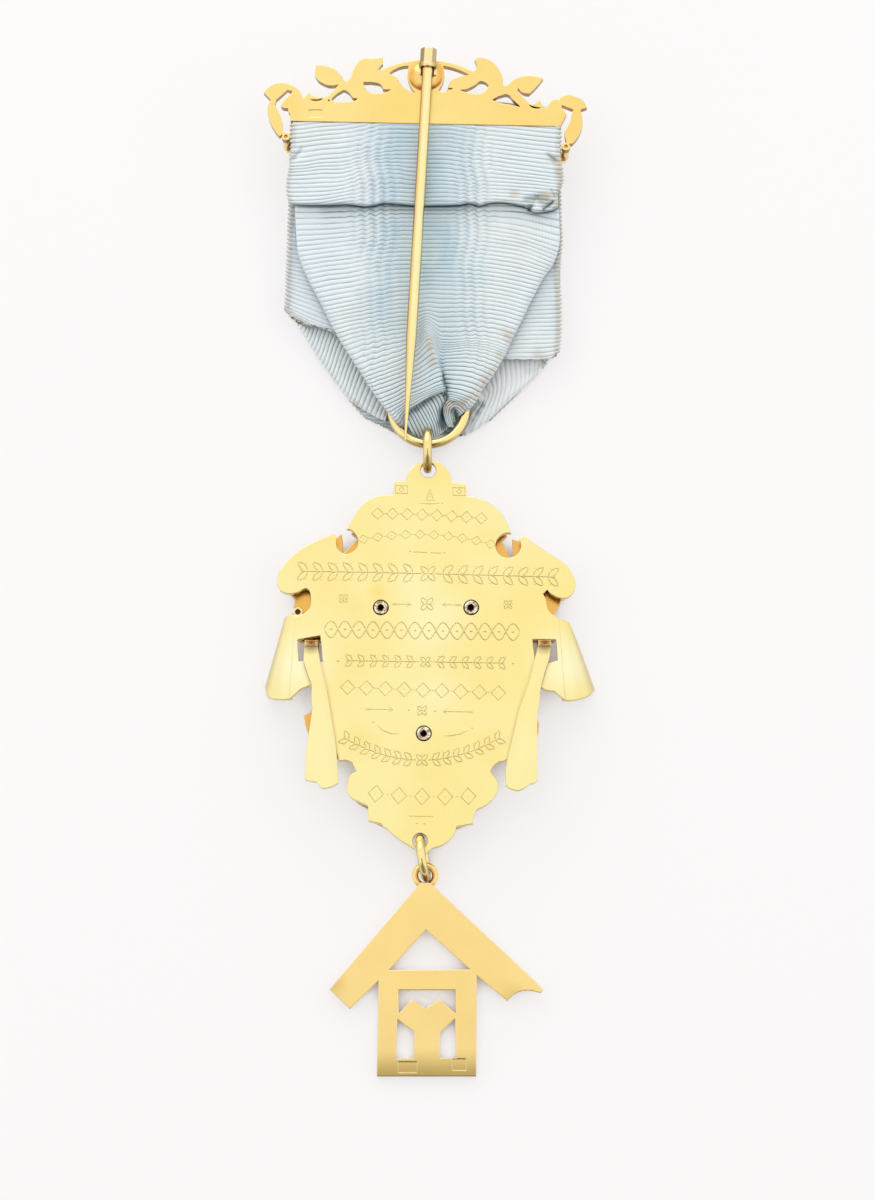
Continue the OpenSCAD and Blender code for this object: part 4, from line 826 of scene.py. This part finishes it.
CORNER_R = [
    (0, [(548, 340, 0), (546, 352, 0), (545, 360, 0), (544.5, 362, 0), (545.3, 363.3, -.45), (543, 364, -1.2)]),
    (1, [(543, 340, 0), (543.5, 355, 0), (543, 363, 0), (541.5, 368.5, 0), (541.8, 370, -.45), (540, 370, -1.2)]),
    (2, [(538, 338, 0), (539, 355, 0), (538.5, 366, 0), (536.8, 374, 0), (537, 376, -.45), (535, 375, -1.2)]),
    (3, [(533, 338, 0), (534, 356, 0), (534.3, 370, 0), (532.3, 379, 0), (532.3, 381, -.45), (530.5, 380, -1.2)]),
    (4, [(527.5, 338, 0), (529, 356, 0), (529.6, 372, 0), (527.8, 383, 0), (527.7, 385, -.45), (526, 384, -1.2)]),
    (5, [(522, 338, 0), (524, 356, 0), (525, 374, 0), (523.5, 387, 0), (523.3, 389, -.45), (521.5, 388, -1.2)]),
    (6, [(517, 338, 0), (519.3, 358, 0), (520.8, 377, 0), (518.5, 391, 0), (518, 393, -.45), (516.3, 392, -1.2)]),
    (7, [(511.5, 338, 0), (514.2, 360, 0), (516, 379, 0), (513, 395.5, 0), (512.5, 397.5, -.45), (511, 396.5, -1.2)]),
    (8, [(506.5, 340, 0), (509.3, 362, 0), (511, 382, 0), (506.5, 401.5, 0), (506, 403.5, -.45), (504.5, 402.5, -1.2)]),
    (9, [(501.5, 344, 0), (504.5, 364, 0), (505.6, 384, 0), (500.5, 407, 0), (500, 409, -.45), (498.5, 408, -1.2)]),
    (10, [(496.5, 350, 0), (499.7, 370, 0), (501, 388, 0), (494.5, 413, 0), (494, 415, -.45), (492.3, 414, -1.2)]),
    (11, [(491, 356, 0), (494.6, 375, 0), (496.5, 391, 0), (487, 420, 0), (486.5, 422, -.45), (485, 421, -1.2)]),
    (12, [(486.5, 364, 0), (490.5, 381, 0), (492.5, 393.5, 0), (478.5, 427, 0), (478, 429, -.45), (476.5, 428, -1.2)]),
    (13, [(482, 372, 0), (485.8, 388, 0), (488, 396, 0), (471, 431.5, 0), (470.3, 433.5, -.45), (469, 432, -1.2)]),
    (14, [(478.5, 380, 0), (482, 394, 0), (484, 400, 0), (464.5, 434, 0), (464, 436, -.45), (462.5, 434.5, -1.2)]),
    (15, [(475.5, 386, .5), (479.5, 397, .55), (481.8, 403, .55), (470, 420, .45), (464, 430, .2), (461, 432, -.4)]),
    (16.5, [(472, 392, .3), (475.5, 400, .35), (477.5, 405, .35), (470, 414, .2), (465, 421, 0), (461, 425, -.4)]),
    (18, [(468, 396, .1), (471.5, 402, .1), (473, 406, .1), (468, 411, 0), (464, 416, -.1), (460, 420, -.5)])]
for name, rows, us in (("ribbon_corner_left", CORNER_L, [0, 2.2, 4.4, 6.6, 7.3, 8.2]), ("ribbon_corner_right", CORNER_R, [0, 2.6, 5.2, 8.6, 9.3, 10.2])):
    P, U, V, v, X, Y = net(rows, us, 40, 8, 2.05)
    P = relief(P, V, 1.0 if name.endswith("right") else 1.25)
    shade = trace(X, Y, [(470, 430), (478, 412), (483, 402)], 2.2, 0.4) + trace(X, Y, [(350, 338), (366, 366), (382, 392), (392, 410)], 3.2, 0.5)
    # pale: painted light on the folded corners, which also lessens their painted groove and occlusion shade
    ob = shell(name, P, 0.5 + U * 0.0, V, 0.3, cloth, {"shade": shade, "warm": 0.02 + 0 * X, "depth": (0.22 if name.endswith("right") else 0.7) + 0 * X, "pale": (1.0 if name.endswith("right") else 0.7) + 0 * X})
    cloth_piece(ob)

# ---- front layer: flat on the surface, down to the point
FRONT_L = [(18.6, -3.4), (20.1, -5.9), (21.7, -9.3), (23.8, -11.1), (34.7, -18.3), (37, -19.8), (45, -19.9), (52, -19.8), (63.6, -19.4)]
FRONT_R = [(18.6, 3.2), (19.4, 5.2), (21.6, 8.9), (25.3, 12.6), (29.4, 16.4), (33, 18.2), (46, 18.7), (52, 18.6), (62.9, 18.5)]


def front():
    v = np.arange(0, 76.0, 1 / 4.0)
    y = 63.6 - v * 0.59
    cu = across(269, 56)
    xl = np.interp(y, [a for a, b in FRONT_L], [b for a, b in FRONT_L])
    xr = np.interp(y, [a for a, b in FRONT_R], [b for a, b in FRONT_R])
    X = xl[:, None] + (xr - xl)[:, None] * cu[None, :] + SH[0]
    Y = np.broadcast_to(y[:, None], X.shape) + SH[1] - (X - X.mean()) * 0.012
    z = 0.62 + 0 * X
    z = z + 1.0 / (1 + np.exp((Y - SH[1] - 18.7) / 0.45))
    P = np.stack([X, Y, z], -1)
    V = np.broadcast_to(v[:, None], X.shape)
    P = relief(P, V, 0.9)
    scallop(P, v, "both", 0.2)
    ob = shell("ribbon_front", P, cu[None, :], V, 0.42, cloth)
    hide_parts("ribbon")
    return cloth_piece(ob)


# ------------------------------------------------------------------ cut ornament on the plate
TOP = 4.3           # top of the back plate
STROKES = []        # (points in picture px, width px, closed)


def cut(points, width=1.25, closed=False):
    STROKES.append((np.asarray(points, float), width, closed))


def put(cx, cy, ang, pts):
    c, s = math.cos(ang), math.sin(ang)
    return [(cx + u * c - w * s, cy + u * s + w * c) for u, w in pts]


def dot(cx, cy, r=0.9):
    cut([(cx - r, cy), (cx + r, cy)], 2.0 * r)


def leaf(cx, cy, ang, length, wide, width=1.1):
    k = np.linspace(0, 1, 8)
    w = wide * np.sin(np.pi * k) ** 0.8 * (1 - 0.25 * k)
    cut(put(cx, cy, ang, list(zip(k * length, w))), width)
    cut(put(cx, cy, ang, list(zip(k * length, -w))), width)


def line_path(x0, y0, x1, y1, bow=0.0):
    def f(q):
        k = (q - x0) / (x1 - x0)
        return y0 + (y1 - y0) * k - bow * 4 * k * (1 - k)
    return f


def along(path, x0, x1, n):
    for k in range(n):
        x = x0 + (k + 0.5) * (x1 - x0) / n
        yield k, x, path(x), math.atan2(path(x + 0.5) - path(x - 0.5), 1.0)


def lozenges(path, x0, x1, n, w, h, width=1.2):
    for k, x, y, a in along(path, x0, x1, n):
        if k % 2:
            dot(x, y, 0.8)
        else:
            cut(put(x, y, a, [(-w, 0), (0, -h), (w, 0), (0, h)]), width, True)
            dot(x, y, 0.55)


def wave(path, x0, x1, n, h, width=1.2, phase=0.0):
    q = np.linspace(x0, x1, n * 8 + 1)
    y = np.array([path(v) for v in q]) + h * np.sin(np.pi * np.linspace(0, n, n * 8 + 1) + phase)
    cut(np.stack([q, y], -1), width)


def laurel(path, x0, x1, n, length, wide, width=1.15):
    """A stem with pairs of leaves that point outwards from its middle."""
    q = np.linspace(x0, x1, 60)
    mid = (x0 + x1) / 2
    for lo, hi in ((x0, mid - 6), (mid + 6, x1)):
        q = np.linspace(lo, hi, 40)
        cut(np.stack([q, [path(v) for v in q]], -1), width)
    for k, x, y, a in along(path, x0, x1, n):
        if abs(x - mid) < 8:
            continue
        turn = 0.0 if x > mid else math.pi
        for side in (-1, 1):
            leaf(x, y, a + turn + side * 0.75, length, wide, width)
            dot(*put(x, y, a + turn + side * 1.35, [(length * 0.62, 0)])[0], 0.6)
    flower(mid, path(mid), length * 0.75, width)


def flower(x, y, r, width=1.1):
    for k in range(4):
        leaf(x, y, math.pi / 4 + k * math.pi / 2, r, r * 0.28, width)
    for k in range(4):
        dot(*put(x, y, k * math.pi / 2, [(r * 0.8, 0)])[0], 0.55)


def arrow(x0, y0, x1, y1, width=1.2):
    """A shaft with its head at the second end and three feathers at the first."""
    a = math.atan2(y1 - y0, x1 - x0)
    cut([(x0, y0), (x1, y1)], width)
    cut(put(x1, y1, a, [(-4.2, -2.6), (0, 0), (-4.2, 2.6)]), width)
    for u in (0.0, 2.2, 4.4):
        cut(put(x0, y0, a, [(u - 1.6, -1.7), (u, 0), (u - 1.6, 1.7)]), 0.9)


# a small triangle with its underline
cut([(430, 489), (426.2, 500.5), (433.8, 500.5)], 1.1, True)
cut([(430, 492), (430, 497.5)], 0.9)
cut([(419, 503.4), (430, 503.8), (440, 503.5)], 1.3)
dot(442.5, 503.5, 0.7)
# rows of common border ornament
lozenges(line_path(374, 513.5, 485, 518.5, 1.2), 374, 485, 15, 6.0, 5.6, 1.5)
lozenges(line_path(360, 540, 494, 545, 8.0), 360, 494, 19, 5.2, 4.4, 1.2)
cut([(413, 551.8), (427.5, 552.4)], 1.7)
cut([(430, 552.7), (441, 553)], 1.7)
dot(410, 551, 1.0)
dot(444.5, 552.6, 1.0)
laurel(line_path(300, 571, 556, 577, 0.5), 300, 556, 17, 13.5, 3.2, 1.5)
arrow(393, 604, 411, 604.4, 1.5)
arrow(460.5, 605, 442.5, 604.6, 1.5)
flower(427, 604, 8.6, 1.4)
flower(343.5, 598.5, 5.6, 1.2)
flower(508, 604.5, 5.6, 1.2)
for ph in (0.0, math.pi):
    wave(line_path(324, 629, 520, 632, 0), 324, 520, 14, 8.4, 1.6, ph)
for k, x, y, a in along(line_path(324, 629, 520, 632, 0), 324, 520, 14):
    dot(x, y, 1.3)
laurel(line_path(346, 660.5, 505, 663, 0), 346, 505, 13, 9.0, 2.2, 1.3)
dot(338, 661, 1.2)
dot(513, 663.5, 1.2)
lozenges(line_path(343, 687, 503, 693, 0), 343, 503, 17, 7.2, 7.2, 1.5)
arrow(367, 709, 393, 709.6, 1.5)
arrow(472, 712, 443, 711.4, 1.5)
flower(422, 710.5, 6.5, 1.3)
dot(409, 710, 1.1)
dot(435, 711, 1.1)
cut([(377, 725), (383, 730.5), (391, 733.6), (400, 734)], 1.4)
cut([(443, 736), (452, 735.6), (461, 733.6), (468, 730.5)], 1.4)
dot(373.5, 722, 1.0)
dot(472, 728, 1.0)
smile = lambda q: 760.0 - 23.0 * ((q - 422.0) / 79.0) ** 2
laurel(smile, 343, 501, 15, 10.2, 2.5, 1.4)
lozenges(line_path(370, 793, 474, 796, -2.0), 370, 474, 9, 7.6, 8.4, 1.5)
cut([(409, 816), (433, 816.5)], 1.6)
dot(417, 823.3, 1.0)
dot(424.5, 823.8, 1.0)
# the two small fields at the neck: a plain frame with a lozenge
for cx, cy in ((401.5, 489.5), (459, 491.5)):
    cut([(cx - 6, cy - 4), (cx + 6, cy - 3.6), (cx + 6, cy + 4), (cx - 6, cy + 3.8)], 1.1, True)
    cut([(cx - 2.6, cy), (cx, cy - 2.4), (cx + 2.6, cy), (cx, cy + 2.4)], 1.0, True)


def cut_mesh(name, mat, height=0.030):
    verts, faces = [], []
    for pts, width, closed in STROKES:
        x, y, _ = to_mm(pts[:, 0], pts[:, 1], TOP).T
        p = np.stack([x, y], -1)
        n = len(p)
        if closed:
            d = np.roll(p, -1, 0) - np.roll(p, 1, 0)
        else:
            d = np.gradient(p, axis=0)
        d = d / np.maximum(np.linalg.norm(d, axis=1, keepdims=True), 1e-9)
        side = np.stack([-d[:, 1], d[:, 0]], -1)
        w = np.full(n, width * 0.14 / 2)
        h = np.full(n, height)
        if not closed:
            w[[0, -1]] *= 0.45
            h[[0, -1]] *= 0.35
            if n == 2:
                w[:] = width * 0.14 / 2 * 0.8
                h[:] = height * 0.6
        base = len(verts)
        for i in range(n):
            verts += [(*(p[i] + side[i] * w[i]), TOP - 0.012), (*(p[i]), TOP + h[i]), (*(p[i] - side[i] * w[i]), TOP - 0.012)]
        loops = n if closed else n - 1
        for i in range(loops):
            a, b = base + 3 * i, base + 3 * ((i + 1) % n)
            faces += [(a, a + 1, b + 1, b), (a + 1, a + 2, b + 2, b + 1), (a + 2, a, b, b + 2)]
        if not closed:
            faces += [(base + 2, base + 1, base), (base + 3 * n - 3, base + 3 * n - 2, base + 3 * n - 1)]
    me = bpy.data.meshes.new(name)
    me.from_pydata([tuple(c * MM for c in v) for v in verts], [], faces)
    me.update()
    me.validate()
    me.materials.append(mat)
    ob = bpy.data.objects.new(name, me)
    bpy.context.scene.collection.objects.link(ob)
    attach(ob, "root")
    return ob


cut_mesh("plate_ornament", cut_gold)

# ------------------------------------------------------------------ surface and light
me = bpy.data.meshes.new("floor")
me.from_pydata([(-3, -3, -0.00003), (3, -3, -0.00003), (3, 3, -0.00003), (-3, 3, -0.00003)], [], [(0, 1, 2, 3)])
floor = bpy.data.objects.new("floor", me)
bpy.context.scene.collection.objects.link(floor)
m, t = material("white_card")
pos = t.n("ShaderNodeTexCoord").outputs["Object"]
xyz = t.n("ShaderNodeSeparateXYZ")
t.put(xyz.inputs[0], pos)
# the card is a little lighter towards +Y: a painted light falloff
c = t.mix(t.ramp(xyz.outputs[1], -0.10, 0.06), lin(152, 148, 148), lin(156, 152, 152))
c = t.mix(t.ramp(t.noise(pos, 9.0, 2.0), 0.3, 0.7, 0.0, 0.25), c, lin(150, 147, 148))
# painted light: the floor glows; where the AO finds it occluded it glows less and warmer, a painted shadow and painted
# reflection of the gold
ao = t.n("ShaderNodeAmbientOcclusion", samples=8, ins={"Distance": 0.006}).outputs["AO"]
painted_floor_light = t.ramp(ao, 0.16, 0.42, 0.22, 0.665)
s = t.n("ShaderNodeBsdfPrincipled", ins={"Base Color": c, "Roughness": 0.9, "Specular IOR Level": 0.1,
                                         "Emission Color": t.mix(t.ramp(ao, 0.16, 0.42), (1.0, 0.86, 0.76), (1.0, 0.998, 0.998)), "Emission Strength": painted_floor_light})
out = t.n("ShaderNodeOutputMaterial")
t.t.links.new(s.outputs[0], out.inputs["Surface"])
me.materials.append(m)
front()

world = bpy.data.worlds.new("studio")
bpy.context.scene.world = world
world.use_nodes = True
w = Tree(world.node_tree)
gen = w.n("ShaderNodeTexCoord").outputs["Generated"]
sep = w.n("ShaderNodeSeparateXYZ")
w.put(sep.inputs[0], gen)
up = w.ramp(sep.outputs[2], 0.45, 0.93)
c = w.mix(up, (1.00, 0.995, 0.99), (1.06, 1.06, 1.06))
# the dark stand that holds the camera
strip = w.math("MULTIPLY", w.ramp(w.math("ABSOLUTE", sep.outputs[0]), 0.30, 0.13), w.ramp(sep.outputs[1], -0.06, -0.22))
c = w.mix(strip, c, (0.07, 0.06, 0.05))
c = w.mix(w.math("MULTIPLY", w.ramp(sep.outputs[1], -0.42, -0.72), 0.8), c, (0.20, 0.17, 0.14))
bg = w.n("ShaderNodeBackground", ins={"Color": c, "Strength": 1.01})
out = w.n("ShaderNodeOutputWorld")
w.t.links.new(bg.outputs[0], out.inputs["Surface"])


def area(name, pos_mm, target_mm, size, power, colour=(1, 1, 1)):
    d = bpy.data.lights.new(name, "AREA")
    d.shape = "RECTANGLE"
    d.size, d.size_y = size
    d.energy = power
    d.color = colour
    o = bpy.data.objects.new(name, d)
    o.location = [c * MM for c in pos_mm]
    direction = Vector([c * MM for c in target_mm]) - o.location
    o.rotation_euler = direction.to_track_quat("-Z", "Y").to_euler()
    bpy.context.scene.collection.objects.link(o)
    return o


area("key_softbox", (-250, 950, 500), (0, 0, 0), (1.2, 0.8), 3.0, (1.0, 0.995, 0.985))

sc = bpy.context.scene
sc.view_settings.view_transform = "Standard"
sc.view_settings.look = "None"
sc.view_settings.exposure = 0.0
sc.view_settings.gamma = 1.0
